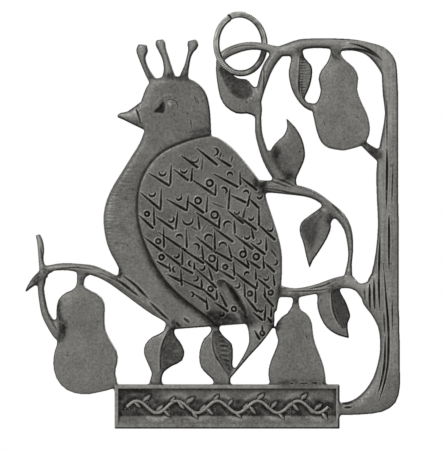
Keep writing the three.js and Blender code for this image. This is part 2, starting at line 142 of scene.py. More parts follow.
def press_in(node, number, height, piece):
    """Presses the front of one CAD piece into the sheet, and marks the samples that it covers."""
    mesh = frame["nodes"][node].data
    mesh.calc_loop_triangles()
    corners = np.empty(len(mesh.vertices) * 3)
    mesh.vertices.foreach_get("co", corners)
    order = np.empty(len(mesh.loop_triangles) * 3, np.int32)
    mesh.loop_triangles.foreach_get("vertices", order)
    for a, b, c in (corners.reshape(-1, 3) / MM)[order.reshape(-1, 3)]:
        area = (b[0] - a[0]) * (c[2] - a[2]) - (b[2] - a[2]) * (c[0] - a[0])
        if area < 1e-7:
            continue
        rows = cells(up, min(a[2], b[2], c[2]), max(a[2], b[2], c[2]))
        columns = cells(across, min(a[0], b[0], c[0]), max(a[0], b[0], c[0]))
        x, z = across[columns][None, :], up[rows][:, None]
        to_b = ((x - a[0]) * (c[2] - a[2]) - (z - a[2]) * (c[0] - a[0])) / area
        to_c = ((b[0] - a[0]) * (z - a[2]) - (b[2] - a[2]) * (x - a[0])) / area
        depth = BACK - (a[1] + to_b * (b[1] - a[1]) + to_c * (c[1] - a[1]))
        higher = (to_b >= -1e-4) & (to_c >= -1e-4) & (to_b + to_c <= 1.0001) & (depth > height[rows, columns])
        height[rows, columns][higher] = depth[higher]
        piece[rows, columns][higher] = number


def distance_to(mask, reach):
    """How far each sample is from the nearest one of the mask, in mm, and never more than the reach."""
    columns = np.arange(mask.shape[1], dtype=np.float32)
    far = np.float32(10 * mask.shape[1])
    before = np.maximum.accumulate(np.where(mask, columns, -far), axis=1)
    after = np.minimum.accumulate(np.where(mask, columns, far)[:, ::-1], axis=1)[:, ::-1]
    along = np.minimum(columns - before, after - columns) ** 2
    nearest = along.copy()
    for shift in range(1, int(reach / SAMPLE) + 2):
        nearest[shift:] = np.minimum(nearest[shift:], along[:-shift] + shift ** 2)
        nearest[:-shift] = np.minimum(nearest[:-shift], along[shift:] + shift ** 2)
    return np.minimum(np.sqrt(nearest) * SAMPLE, reach)


def blurred(values, spread, spread_up=None):
    """The values under a blur whose spread is in mm, round unless a second one is given for up and down."""
    waves_up = np.fft.fftfreq(values.shape[0], SAMPLE)[:, None] * (spread_up or spread)
    waves_across = np.fft.rfftfreq(values.shape[1], SAMPLE) * spread
    fade = np.exp(-2 * math.pi ** 2 * (waves_up ** 2 + waves_across ** 2))
    return np.fft.irfft2(np.fft.rfft2(values) * fade, values.shape)


def softened(mask, spread):
    """A mask as weights from 0 to 1, under a blur whose spread is in mm."""
    return blurred(mask.astype(float), spread)


def limited(values):
    """The values, kept between 0 and 1."""
    return np.clip(values, 0, 1)


def eased(share):
    """A share from 0 to 1 that starts and ends gently."""
    return share * share * (3 - 2 * share)


def unevenness(seed, spread, spread_up=None):
    """A random field over the whole sheet, mostly between -1 and 1, whose lumps have the given spread."""
    field = blurred(np.random.default_rng(seed).standard_normal((len(up), len(across))), spread, spread_up)
    return np.clip(field / (1.5 * field.std()), -1.6, 1.6)


def around(mask, margin):
    """The slices of the sheet that hold the mask, with a margin in mm."""
    extra = int(margin / SAMPLE) + 1
    rows, columns = np.flatnonzero(mask.any(1)), np.flatnonzero(mask.any(0))
    return (slice(max(0, rows[0] - extra), rows[-1] + extra + 1),
            slice(max(0, columns[0] - extra), columns[-1] + extra + 1))


def soften(height, mask, spread):
    """Smooths the heights of the mask, with nothing taken from beside it."""
    near = around(mask, 3 * spread)
    inside = mask[near]
    smooth = blurred(height[near] * inside, spread) / np.maximum(softened(inside, spread), 1e-3)
    height[near] = np.where(inside, smooth, height[near])


def ease_step(height, first, second, spread):
    """Turns the step between two masks into a slope, and leaves the rest of both as it is."""
    both = first | second
    near = around(both, 3 * spread)
    inside = both[near]
    share = np.maximum(softened(inside, spread), 1e-3)
    smooth = blurred(height[near] * inside, spread) / share
    one = softened(first[near], spread) / share
    weight = limited(5 * one * (1 - one)) * inside
    height[near] = height[near] * (1 - weight) + smooth * weight


def spread_out(height, piece, wanted):
    """Gives the wanted samples that no piece covers the height and name of the nearest that one does."""
    for _ in range(60):
        bare = wanted & (piece < 0)
        if not bare.any():
            break
        for axis, step in ((0, 1), (0, -1), (1, 1), (1, -1)):
            beside = np.roll(piece, step, axis)
            taken = bare & (piece < 0) & (beside >= 0)
            piece[taken] = beside[taken]
            height[taken] = np.roll(height, step, axis)[taken]


def enclosed(outline):
    """The samples inside a closed outline given in mm."""
    rows = cells(up, outline[:, 1].min(), outline[:, 1].max())
    columns = cells(across, outline[:, 0].min(), outline[:, 0].max())
    x, z = across[columns][None, :], up[rows][:, None]
    inside = np.zeros((z.shape[0], x.shape[1]), bool)
    for (x0, z0), (x1, z1) in zip(outline, np.roll(outline, -1, 0)):
        if z0 != z1:
            inside ^= ((z0 > z) != (z1 > z)) & (x < x0 + (z - z0) * (x1 - x0) / (z1 - z0))
    mask = np.zeros((len(up), len(across)), bool)
    mask[rows, columns] = inside
    return mask


def traced(line):
    """The samples that a line given in mm passes over."""
    mask = np.zeros((len(up), len(across)), bool)
    for start, end in zip(line[:-1], line[1:]):
        t = np.linspace(0, 1, int(math.dist(start, end) / SAMPLE * 2) + 2)[:, None]
        spots = start * (1 - t) + end * t
        row, column = (spots[:, 1] - FOOT) / SAMPLE, (spots[:, 0] - LEFT) / SAMPLE
        mask[np.rint(row).astype(int), np.rint(column).astype(int)] = True
    return mask


def weighted(outline, soft):
    """1 well inside a closed outline of the photograph, 0 outside, with an edge as soft as given in mm."""
    return limited(softened(enclosed(flowing(outline, closed=True)), soft))


LUMPS = unevenness(7, 0.17)        # small lumps all over, which the mould's sand left


# How far each kind of piece is smoothed, in mm. The bar and the wing keep their steps.
SMOOTH = {
    "leaf_upright": 0.4, "name_bar": 0.02, "partridge_wing": 0.35, "partridge_tail": 0.4, "trunk": 0.4,
    "pear": 1.1, "crest": 0.15, "leaf": 0.18, "partridge_beak": 0.3}
SMOOTH_ELSE = 0.22

# Pairs of pieces that run into each other without a step, and how wide the slope between them is, in mm
RUN_TOGETHER = [
    ("partridge_head", "partridge_body", 0.9), ("partridge_wing", "partridge_tail", 0.7),
    ("partridge_head", "crest_left", 0.35), ("partridge_head", "crest_middle", 0.35),
    ("partridge_head", "crest_right", 0.35), ("trunk", "trunk_top_bend", 0.6), ("trunk", "trunk_foot", 0.6),
    ("trunk_top_bend", "top_branch", 0.6), ("top_branch", "upper_stem", 0.4),
    ("top_branch", "hanger_branch", 0.4), ("upper_stem", "hanger_branch", 0.4),
    ("upper_stem", "middle_branch", 0.4), ("trunk", "lower_branch", 0.5), ("trunk", "middle_branch", 0.5),
    ("lower_branch", "middle_branch", 0.4), ("left_branch", "left_twig", 0.3),
    ("left_branch", "left_thorn", 0.3), ("left_branch", "left_tendril", 0.3),
    ("pear_top", "pear_top_calyx", 0.3), ("pear_top", "top_branch", 0.35), ("pear_left", "left_branch", 0.35),
    ("pear_right", "lower_branch", 0.35), ("leaf_hanger", "upper_stem", 0.35),
    ("leaf_hanger", "hanger_branch", 0.3), ("leaf_top", "top_branch", 0.3), ("leaf_top", "pear_top", 0.3),
    ("leaf_upright", "middle_branch", 0.3), ("leaf_hanging", "middle_branch", 0.3),
    ("leaf_lower_right", "lower_branch", 0.3), ("leaf_foot_left", "partridge_body", 0.35),
    ("leaf_foot_right", "partridge_body", 0.35), ("trunk_foot", "name_bar", 0.3),
    ("middle_branch", "partridge_wing", 0.35), ("lower_branch", "partridge_wing", 0.35),
    ("upper_stem", "leaf_upright", 0.45), ("trunk", "partridge_tail", 0.3),
    ("left_tendril", "pear_left", 0.4)]

# The halves of leaves that are cut lower than the rest: outline, depth, wall width, patina, roughness
HOLLOWS = {
    "leaf_hanger": (
        [(218, 68), (221, 78), (225.5, 87), (230, 93.5), (236, 98.5), (244, 101.5), (250, 101), (254, 95),
         (253, 87), (249, 80), (246, 74), (236, 70), (226, 64)], 0.45, 0.8, 0.5, 0.5),
    "leaf_top": (
        [(300, 56), (306, 54), (314, 60), (318, 71), (315, 84), (309, 95), (303, 99), (300.5, 92),
         (299.5, 80), (300, 68)], 0.35, 0.25, 0.03, 0.3),
    "leaf_upright": (
        [(266, 150), (276, 144), (283, 152), (281, 161), (284, 169), (294, 171), (296, 180), (282, 183),
         (271, 170)], 0.3, 1.3, 0.85, 0.3),
    "leaf_hanging": (
        [(299, 222), (309, 211), (318, 216), (322, 228), (318, 244), (310, 256), (304, 246), (298, 233)],
        0.3, 1.3, 0.5, 0.2),
    "leaf_lower_right": (
        [(331, 292), (332, 303), (334.5, 314), (338.5, 323), (343, 329), (350, 324), (353, 309), (349, 296),
         (342, 287)], 0.5, 0.3, 0.56, 0.25),
    "leaf_foot_left": (
        [(169, 329), (164, 339), (161.5, 349), (160.5, 360), (161, 370), (170, 370), (184, 364), (188, 352),
         (183, 340), (175, 329)], 0.45, 0.3, 0.47, 0.6),
    "leaf_foot_right": (
        [(214, 331), (213.5, 344), (216, 355), (221, 364), (228, 376), (233, 378), (237, 362), (236, 345),
         (226, 333)], 0.4, 0.3, 0.4, 0.35)}

# How much darker, or with a minus brighter, than the fruit each piece is made; on the arch (hanger_branch)
# the brightening is painted light, where the arch catches the light
TONES = {
    "partridge_head": 0.11, "partridge_body": 0.03, "pear_right": 0.06, "hanger_branch": -0.46,
    "top_branch": -0.2, "trunk_top_bend": -0.26, "trunk": -0.13, "lower_branch": -0.48, "left_branch": -0.24,
    "left_twig": -0.4, "leaf_upright": 0.15, "crest_left": -0.18, "crest_middle": -0.18, "crest_right": -0.18,
    "partridge_beak": -0.1, "partridge_tail": -0.08, "upper_stem": 0.03, "partridge_wing": 0.08,
    "trunk_foot": 0.04}

# Where patina lies in corners: outline and darkness
SMUDGES = [
    ([(164, 78), (168, 72), (176, 74), (180, 80), (172, 79)], 0.7),
    ([(178, 79), (183, 72), (188, 74), (189, 80)], 0.75), ([(147, 79), (150, 72), (155, 77), (152, 80)], 0.6),
    ([(143, 62), (147, 60), (151, 72), (148, 75)], 0.5), ([(184, 62), (188, 60), (186, 74), (182, 74)], 0.5),
    ([(190, 132), (210, 127), (212, 134), (192, 139)], 0.35),
    ([(128, 120), (142, 122), (142, 130), (132, 128)], 0.4),
    ([(113, 268), (120, 268), (124, 277), (114, 276)], 0.8),
    ([(80, 277), (92, 277), (91, 286), (82, 285)], 0.4), ([(38, 262), (48, 262), (45, 276), (36, 274)], 0.35),
    ([(32, 274), (40, 270), (40, 281), (34, 284)], 0.6),
    ([(207, 312), (232, 314), (240, 326), (212, 326)], 0.6),
    ([(171, 320), (180, 324), (184, 334), (173, 331)], 0.65),
    ([(229, 55), (236, 58), (228, 64), (222, 60)], 0.5), ([(296, 50), (304, 48), (310, 54), (302, 60)], 0.55),
    ([(330, 50), (342, 50), (341, 60), (331, 60)], 0.3),
    ([(278, 286), (288, 286), (287, 296), (280, 296)], 0.5),
    ([(290, 291), (300, 291), (299, 303), (292, 303)], 0.5),
    ([(327, 280), (345, 279), (341, 292), (329, 292)], 0.6),
    ([(255, 176), (266, 178), (264, 194), (254, 190)], 0.7),
    ([(310, 205), (322, 208), (322, 222), (314, 220)], 0.3),
    ([(328, 214), (334, 216), (330, 226), (325, 222)], 0.6),
    ([(270, 318), (280, 318), (279, 330), (270, 330)], 0.6),
    ([(364, 141), (381, 149), (379, 160), (362, 147)], 0.62),
    ([(282, 380), (328, 380), (328, 387), (282, 387)], 0.3),
    ([(56.5, 302), (60.5, 301), (60, 309), (62, 316), (67, 323), (66.5, 332), (62, 342), (60, 330),
      (58, 316)], 0.8)]

# Broad places painted darker, or with a minus lighter: the piece, the place, how soft its border is in mm,
# and how much
BROAD_TONES = [
    ("partridge_body", [(147, 128), (162, 132), (144, 156), (140, 184), (128, 196), (114, 184)], 1.2, 0.17),
    ("upper_stem", [(258, 132), (268, 134), (278, 170), (274, 184), (262, 178)], 0.5, 0.13),
    ("leaf_upright", [(266, 180), (270, 158), (282, 154), (289, 166), (286, 182)], 0.6, 0.11),
    ("leaf_top", [(301, 58), (314, 58), (314, 94), (303, 94)], 0.4, -0.1),
    ("trunk", [(372, 206), (402, 206), (402, 268), (372, 268)], 1.2, 0.09)]

# Metal in the corners where branches meet, and the ends of two windows: over the right fruit, and
# beside the first of those corners
WEBS = [
    [(350, 269), (351.2, 273), (353.2, 276.6), (355.6, 279.4), (358, 282), (350, 283)],
    [(351, 285), (354, 289), (356.9, 292), (360.2, 296.3), (363.5, 301), (366, 304), (368, 300), (360, 285)],
    [(43, 267), (53, 268), (53, 271.2), (48.6, 274), (46, 278), (45, 283), (43.5, 288), (42, 284)],
    [(80, 271), (90, 272), (89.5, 274.7), (86, 276.8), (84.3, 280), (83.4, 285), (81, 286)]]
WINDOW_ENDS = [
    [(275, 312), (274.4, 320), (274.2, 326.3), (275.8, 326.3), (277.3, 322.8), (279.6, 319.9), (282.5, 316.8),
     (285.5, 314.7), (288.5, 312.2), (287, 309), (280, 310)],
    [(354.6, 277.6), (356, 279.8), (358, 281.9), (361, 283.4), (365, 282.9), (368.2, 280.8), (367, 277),
     (360, 274)]]

# Where the wing's tip ends, over the feathers behind it
WING_FOLD = [
    (222, 281), (227, 282.5), (233, 289), (239, 299), (243.5, 308), (247.5, 318), (249, 330), (248, 342)]

# The deep corner of the eye, the feathers behind the wing's tip, the breast's low part, where the wing's line
# is faint, and where the left tendril meets its fruit
EYE_CORNER = [(153, 112.5), (158.5, 106), (163, 100), (165.5, 105), (165, 113.5), (160, 114)]
UNDER_FOLD = [(238, 346), (228, 320), (219, 300), (216, 286)]
LOW_BREAST = [(134, 262), (146, 246), (262, 345), (225, 350), (180, 325)]
NECK_EDGE = [(126, 150), (152, 158), (150, 236), (128, 232)]
TENDRIL_FOOT = [(57, 321), (61, 319), (64.5, 325), (65, 334), (61, 344), (56, 344), (57, 332)]
# The name bar's panel and its left end, and the strip over the bar
BAR_PANEL = [(119, 389), (336, 389), (336, 427), (119, 427)]
BAR_LEFT_END = [(112, 380), (152, 384), (146, 420), (112, 420)]
OVER_BAR = [(120, 376), (336, 376), (336, 388.5), (120, 388.5)]
# Where the breast is streaked, and where it rolls over broadly
STREAKED_BREAST = [(112, 165), (136, 170), (132, 275), (112, 262), (96, 220)]
LEFT_BREAST = [(80, 140), (140, 128), (128, 200), (124, 240), (90, 243)]
# The pieces whose bark is streaked along their length
BRANCHES = ("top_branch", "hanger_branch", "middle_branch", "lower_branch", "left_branch")


class Sheet:
    """The casting's front, sample by sample: the height over its back, the piece that each sample belongs to,
    how far in from the side it lies, and how dark its patina and painted shade are. Lengths are in mm."""

    def __init__(self):
        self.height = np.zeros((len(up), len(across)))
        self.piece = np.full(self.height.shape, -1)
        self.shade = np.zeros(self.height.shape)
        for number, node in enumerate(CAST):
            press_in(node, number, self.height, self.piece)
        filled = distance_to(distance_to(self.piece >= 0, 1) > FILLET, 1) > FILLET
        for outline in WEBS:
            filled |= enclosed(flowing(outline, closed=True))
        for outline in WINDOW_ENDS:
            filled &= ~enclosed(flowing(outline, closed=True))
        self.inward = blurred(distance_to(~filled, REACH) - distance_to(filled, REACH), SIDE_SOFT) + SPREAD
        spread_out(self.height, self.piece, self.inward > -0.3)
        self.part = {node: self.piece == number for number, node in enumerate(CAST)}

    def together(self, *nodes):
        """The samples of some pieces, as one mask."""
        return np.logical_or.reduce([self.part[node] for node in nodes])

    def darken(self, shade):
        """Lays patina and painted shade where there is less than this."""
        self.shade = np.maximum(self.shade, shade)

    def sink(self, outline, depth, wall, dark, only, rough=0.0):
        """Lowers what a closed outline holds. `wall` is how wide its sloping wall is, `dark` the patina left
        in it, and `rough` how uneven its floor is."""
        mask = enclosed(flowing(outline, closed=True)) & only
        near = around(mask, 1)
        share = eased(limited(distance_to(~mask[near], wall) / wall))
        lumps = rough * LUMPS[near]
        self.height[near] -= (depth + 0.09 * lumps) * share
        self.shade[near] = np.maximum(self.shade[near], dark * (1 + 0.5 * lumps) * share)

    def lean(self, toward, reach, depth, dark, only):
        """Lets a face fall towards a mask beside it, most where they meet, with painted shade gathered there.
        """
        nearby = distance_to(only, reach + SAMPLE) <= reach
        near = around(toward & nearby, reach + 0.5)
        share = eased(1 - distance_to(toward[near], reach) / reach) * only[near]
        self.height[near] -= depth * share
        self.shade[near] = np.maximum(self.shade[near], dark * share * (1 + 0.3 * LUMPS[near]))


def soften_pattern(sheet):
    """Smooths each piece, and lets some run into each other, as a mould softens a carved pattern."""
    for node, mask in sheet.part.items():
        spread = next((s for kind, s in SMOOTH.items() if node.startswith(kind)), SMOOTH_ELSE)
        soften(sheet.height, mask, spread)
    for first, second, spread in RUN_TOGETHER:
        ease_step(sheet.height, sheet.part[first], sheet.part[second], spread)
    soften(sheet.height, (sheet.piece >= 0) & ~sheet.part["name_bar"], SKIN_SOFT)


def shape_leaves_and_bird(sheet):
    """Sinks the hollows, gathers patina in them and in corners, and paints shade along the wing's edge, on
    the breast below it and under its tip.
    """
    for node, (outline, depth, wall, dark, rough) in HOLLOWS.items():
        sheet.sink(outline, depth, wall, dark, sheet.part[node], rough)
    head, body, wing = (sheet.part["partridge_" + name] for name in ("head", "body", "wing"))
    sheet.sink(EYE_CORNER, 0.4, 0.55, 1.0, head)
    # the fold where the wing's tip lies over the feathers behind it, with painted shade under the tip
    feathers = sheet.together("partridge_wing", "partridge_tail")
    sheet.lean(traced(flowing(WING_FOLD)) & feathers, 1.6, 0.45, 0.5,
               feathers & enclosed(flowing(WING_FOLD + UNDER_FOLD, closed=True)))
    # the breast falls to the wing's lower edge, and there lies a broad, soft painted shadow of the wing,
    # darkest on the breast's low part
    low_breast = weighted(LOW_BREAST, 0.8)
    near_wing = eased(1 - distance_to(wing, BREAST_FALL) / BREAST_FALL) * body
    sheet.height -= 0.35 * near_wing * low_breast
    sheet.darken(near_wing * (0.12 + 0.6 * low_breast) * (1 + 0.25 * LUMPS))
    # painted shade: a dark line on the body and head all along the wing's edge, where the wing stands over
    # them, fainter beside the neck
    faint = 1 - 0.45 * weighted(NECK_EDGE, 1.2)
    sheet.darken(0.9 * faint * (body | head) * limited(1.25 - distance_to(wing, 0.6) / WING_SHADE_LINE))
    sheet.sink(TENDRIL_FOOT, 0.3, 0.9, 0.85, sheet.together("pear_left", "left_tendril"), 0.3)
    # the crest's roots, and the corners where a branch or a stalk leaves something
    for outline, dark in SMUDGES:
        sheet.darken(dark * weighted(outline, 0.25) * (1 + 0.35 * LUMPS))


def shape_bar_panel(sheet):
    """The name bar's panel is darkest at its left end, and has a painted shadow under its upper edge. Its
    floor rises to the lower edge, and is lighter there. Gives back the places of the floor."""
    def below(py):
        """How far each row of samples lies below a row of the photograph, in mm."""
        return at(0, py)[1] - up[:, None]

    floor = weighted(BAR_PANEL, 0.05) * (sheet.height < BAR_FLOOR_TOP) * sheet.part["name_bar"]
    lightened = limited(below(415) / 0.3)
    behind_vine = limited(below(398) / 0.7)
    left_end = weighted(BAR_LEFT_END, 1.0)
    shadow_under_rim = limited(-below(391) / 0.4)
    darkening = 0.19 + (1 - lightened) * np.maximum(0.66 * behind_vine, 0.6 * left_end)
    sheet.darken(floor * np.maximum(0.7 * shadow_under_rim, darkening) * (1 + 0.15 * LUMPS))
    sheet.height += floor * (0.6 * limited(below(415) / 1.9) - 0.02 * LUMPS)
    return floor


def streak_and_tone(sheet):
    """Long thin streaks in the bark, short ones across the breast, and how much darker or brighter each piece
    is made.
    """
    part = sheet.part
    along_trunk = unevenness(3, 0.11, 2.6)
    bark = softened(sheet.together("trunk", "trunk_top_bend"), 0.3)
    along_branch = unevenness(4, 2.2, 0.1)
    twigs = softened(sheet.together(*BRANCHES), 0.3)
    across_breast = unevenness(5, 0.5, 0.09)
    breast = softened(part["partridge_body"], 0.5) * weighted(STREAKED_BREAST, 1.2)
    streaks = 0.8 * along_trunk * bark + 0.8 * along_branch * twigs + 0.7 * across_breast * breast
    sheet.height -= 0.03 * streaks
    sheet.shade += 0.09 * streaks
    for node, tone in TONES.items():
        sheet.shade += tone * softened(part[node], 0.25)
    for node, outline, soft, tone in BROAD_TONES:
        sheet.shade += tone * weighted(outline, soft) * part[node]
    # the grey that a buff leaves between the marks of the wing, most of it low down, and a painted highlight
    # on the bar's raised rim
    lower = limited((at(0, 190)[1] - up[:, None]) / 14)
    haze = part["partridge_wing"] * (0.06 + 0.1 * lower) * (1 + 0.6 * unevenness(9, 0.7))
    sheet.shade += haze - 0.15 * part["name_bar"] * (sheet.height > 2.3) * (sheet.inward < 0.9)


def roll_over(sheet, bar, left_breast):
    """Rolls the face over to the casting's sides."""
    wing = softened(sheet.part["partridge_wing"], 0.3)
    side = SIDE + (BAR_SIDE - SIDE) * bar
    roll = ROLL + (BAR_ROLL - ROLL) * bar + (WING_ROLL - ROLL) * wing + (BREAST_ROLL - ROLL) * left_breast
    share = limited(sheet.inward / roll)
    sheet.height = side + (sheet.height - side) * np.sqrt(share * (2 - share))


def wear(sheet, bar, left_breast, floor):
    """Patina stays in the corners that a buff can't reach, and wears off what stands proud. The rims get
    painted shade, widest where a side faces right and down, away from the light, and a painted highlight
    where a side faces the light.
    """
    height, inward, part = sheet.height, sheet.inward, sheet.part
    inside = inward > 0
    level = blurred(height * inside, 0.45) / np.maximum(softened(inside, 0.45), 1e-3)
    # places where low spots are not darkened
    spared = (0.85 * part["hanger_branch"] + 0.5 * part["upper_stem"] + 0.6 * weighted(OVER_BAR, 0.2)
                  + 0.6 * part["lower_branch"])
    under = limited((level - height - 0.02) / 0.3) * limited(inward / 0.4) * (1 - spared)
    proud = limited((height - level - 0.03) / 0.3) * (1 - floor)
    rise, run = np.gradient(inward, SAMPLE)
    # 1 where a side faces right and down, away from the light, and -1 where it faces left and up, towards it
    away = 0.66 * rise - 0.75 * run
    shaded_side = limited(0.45 + 0.8 * away)
    fruit = softened(sheet.together("pear_top", "pear_left", "pear_right"), 0.3)
    narrow = softened(sheet.together("lower_branch", "left_branch", "hanger_branch", "left_twig"), 0.3)
    # where a rim gets a painted highlight and no painted shade: the breast's left side, the bar, the fruit's
    # right and lower sides, and the thin branches' upper sides
    lit_edge = np.maximum.reduce([left_breast, bar, fruit * limited(0.3 + 1.2 * away),
                               0.75 * narrow * limited(-1.5 * away)])
    # painted shade on the rims: a thin dark line all round, a wider one where the side faces away from the
    # light, and a painted highlight where it faces the light
    thin_shaded_rim = limited((THIN_SHADED_RIM - inward) / 0.09) * 0.75 * (1 - lit_edge)
    shaded_rim = limited((SHADED_RIM - 0.08 * narrow - inward) / 0.1) * 1.3 * shaded_side * (1 - 0.75 * fruit)
    shaded_rim = shaded_rim * (0.95 + 0.1 * LUMPS)
    lit_rim = limited(1.4 - inward / 0.3) * limited(-away) * 0.12 * lit_edge
    dark = np.maximum.reduce([0.9 * under, shaded_rim, thin_shaded_rim])
    gained = limited(dark / 0.15) * np.maximum(dark - sheet.shade, 0)
    sheet.shade += gained - 0.18 * proud * (1 - shaded_rim) - lit_rim
    sheet.darken(BRIGHTEST)


def sheet_of_heights():
    """The casting's front, shaped, softened and darkened."""
    sheet = Sheet()
    soften_pattern(sheet)
    shape_leaves_and_bird(sheet)
    floor = shape_bar_panel(sheet)
    streak_and_tone(sheet)
    bar = softened(sheet.part["name_bar"], 0.12)
    left_breast = softened(sheet.part["partridge_body"], 0.3) * weighted(LEFT_BREAST, 0.8)
    roll_over(sheet, bar, left_breast)
    wear(sheet, bar, left_breast, floor)
    return sheet


# The sheet as a mesh

EVERY = 2          # the mesh has a corner at every second sample, 0.1 mm apart
SLIVER = 0.006     # mm: a corner nearer to the side than this would leave slivers


def cut_sheet(sheet):
    """A mesh of the sheet, cut off where its side is: corners in mm, their patina and painted shade, faces,
    and each face's piece."""
    height, shade, inward = (values[::EVERY, ::EVERY] for values in (sheet.height, sheet.shade, sheet.inward))
    inward = np.where(np.abs(inward) < SLIVER, SLIVER, inward)
    x, z = np.meshgrid(across[::EVERY], up[::EVERY])
    fields = np.stack([x, BACK - height, z, shade], -1)
    inside = inward > 0
    numbers = np.full(inside.shape, -1)
    numbers[inside] = np.arange(inside.sum())
    corners = [fields[inside]]
    count = len(corners[0])

    def crossings(first, second):
        """New corners on the grid's lines, where the sheet's side crosses them."""
        nonlocal count
        a, b = inward[first], inward[second]
        crossed = (a > 0) != (b > 0)
        t = (a[crossed] / (a[crossed] - b[crossed]))[:, None]
        corners.append(fields[first][crossed] * (1 - t) + fields[second][crossed] * t)
        found = np.full(crossed.shape, -1)
        found[crossed] = count + np.arange(crossed.sum())
        count += crossed.sum()
        return found

    every = slice(None)
    level = crossings((every, slice(None, -1)), (every, slice(1, None)))
    upright = crossings((slice(None, -1), every), (slice(1, None), every))
    ring = np.stack([numbers[:-1, :-1], level[:-1], numbers[:-1, 1:], upright[:, 1:],
                     numbers[1:, 1:], level[1:], numbers[1:, :-1], upright[:, :-1]], -1).reshape(-1, 8)
    owner = sheet.piece[EVERY // 2::EVERY, EVERY // 2::EVERY]
    owner = joined_up(owner[:level.shape[0] - 1, :upright.shape[1] - 1]).ravel()
    present = ring >= 0
    sides = present.sum(1)
    quads, triangles, quad_owner, triangle_owner = [], [], [], []
    for k in range(3, 7):
        chosen = sides == k
        polygons = ring[chosen][present[chosen]].reshape(-1, k)
        if k == 4:
            quads.append(polygons)
            quad_owner.append(owner[chosen])
        else:
            for fan in range(1, k - 1):
                triangles.append(polygons[:, [0, fan, fan + 1]])
                triangle_owner.append(owner[chosen])
    corners = np.concatenate(corners)
    return (corners[:, :3], corners[:, 3], [np.concatenate(quads), np.concatenate(triangles)],
            [np.concatenate(quad_owner), np.concatenate(triangle_owner)])


def joined_up(owner):
    """Moves single cells between pieces, so that no piece touches itself at a corner alone."""
    owner = owner.copy()
    for _ in range(20):
        a, b, c, d = owner[:-1, :-1], owner[:-1, 1:], owner[1:, :-1], owner[1:, 1:]
        crossed = ((a == d) & (b != a) & (c != a)) | ((b == c) & (a != b) & (d != b))
        if not crossed.any():
            break
        b[crossed] = a[crossed]
        c[crossed] = a[crossed]
    return owner


def mesh_of(name, corners, faces):
    """A mesh from corners in mm and a list of face arrays, one for each number of sides."""
    mesh = bpy.data.meshes.new(name)
    sides = np.concatenate([np.full(len(one), one.shape[1]) for one in faces])
    order = np.concatenate([one.ravel() for one in faces])
    mesh.vertices.add(len(corners))
    mesh.vertices.foreach_set("co", (corners * MM).ravel())
    mesh.loops.add(len(order))
    mesh.loops.foreach_set("vertex_index", order.astype(np.int32))
    mesh.polygons.add(len(sides))
    mesh.polygons.foreach_set("loop_start", (np.cumsum(sides) - sides).astype(np.int32))
    mesh.update(calc_edges=True)
    return mesh


def place(name, mesh):
    """A new object at the origin that shows a mesh."""
    made = bpy.data.objects.new(name, mesh)
    bpy.context.scene.collection.objects.link(made)
    return made


def keep(mesh, name, values, kind="FLOAT"):
    """Gives each corner of a mesh a value of its own."""
    mesh.attributes.new(name, kind, "POINT").data.foreach_set("value", values)


# How full a stroke is at each share of its length: a graver goes in and out shallow, or is pushed in
TAPERS = {"both": lambda share: np.maximum(0.4, np.sin(math.pi * share) ** 0.5),
          "start": lambda share: 0.45 + 0.55 * limited(share / 0.6),
          "none": np.ones_like}


def lines_object(name, lines, taper="both"):
    """Lines on the photograph's plane, given in mm, as the bare edges of one object. Each corner keeps how
    full the stroke is there."""
    corners, edges, full = [], [], []
    for line in lines:
        edges += [(len(corners) + i, len(corners) + i + 1) for i in range(len(line) - 1)]
        corners += [(x * MM, 0, z * MM) for x, z in line]
        full += list(TAPERS[taper](np.linspace(0, 1, len(line))))
    mesh = bpy.data.meshes.new(name)
    mesh.from_pydata(corners, edges, [])
    keep(mesh, "fullness", full)
    return place(name, mesh)


# Node trees

def add(tree, kind, *inputs, **settings):
    """Adds a node. Its inputs come in the order of its sockets, and after them perhaps a dict by the sockets'
    names. Each is a value, an output that feeds it, or a node whose first output does."""
    node = tree.nodes.new(kind)
    for name, value in settings.items():
        setattr(node, name, value)
    named = inputs[-1] if inputs and isinstance(inputs[-1], dict) else {}
    in_order = inputs[:-1] if named else inputs
    for key, value in [*enumerate(in_order), *named.items()]:
        if isinstance(value, bpy.types.Node):
            value = value.outputs[0]
        if isinstance(value, bpy.types.NodeSocket):
            tree.links.new(value, node.inputs[key])
        else:
            node.inputs[key].default_value = value
    return node


def geometry_tree(name, sizes):
    """An empty Geometry Nodes tree with named inputs, each given as a kind of socket."""
    tree = bpy.data.node_groups.new(name, "GeometryNodeTree")
    tree.interface.new_socket("Geometry", in_out="INPUT", socket_type="NodeSocketGeometry")
    tree.interface.new_socket("Geometry", in_out="OUTPUT", socket_type="NodeSocketGeometry")
    for label, kind in sizes.items():
        tree.interface.new_socket(label, in_out="INPUT", socket_type="NodeSocket" + kind)
    return tree, add(tree, "NodeGroupInput").outputs


def end_tree(tree, geometry, material):
    """Realizes what a tree made and gives it its material."""
    real = add(tree, "GeometryNodeRealizeInstances", geometry)
    dressed = add(tree, "GeometryNodeSetMaterial", {"Geometry": real, "Material": material})
    add(tree, "NodeGroupOutput", dressed)
    return tree


def set_tree(thing, tree, sizes):
    """Puts a tree on an object and sets its inputs by their identifiers."""
    modifier = thing.modifiers.new(tree.name, "NODES")
    modifier.node_group = tree
    for item in tree.interface.items_tree:
        if item.in_out == "INPUT" and item.name in sizes:
            modifier[item.identifier] = sizes[item.name]


def made_plain(thing):
    """Turns what an object's trees make into its own plain mesh, and takes the trees off."""
    ready = thing.evaluated_get(bpy.context.evaluated_depsgraph_get())
    mesh = bpy.data.meshes.new_from_object(ready)
    thing.modifiers.clear()
    thing.data = mesh
    return thing


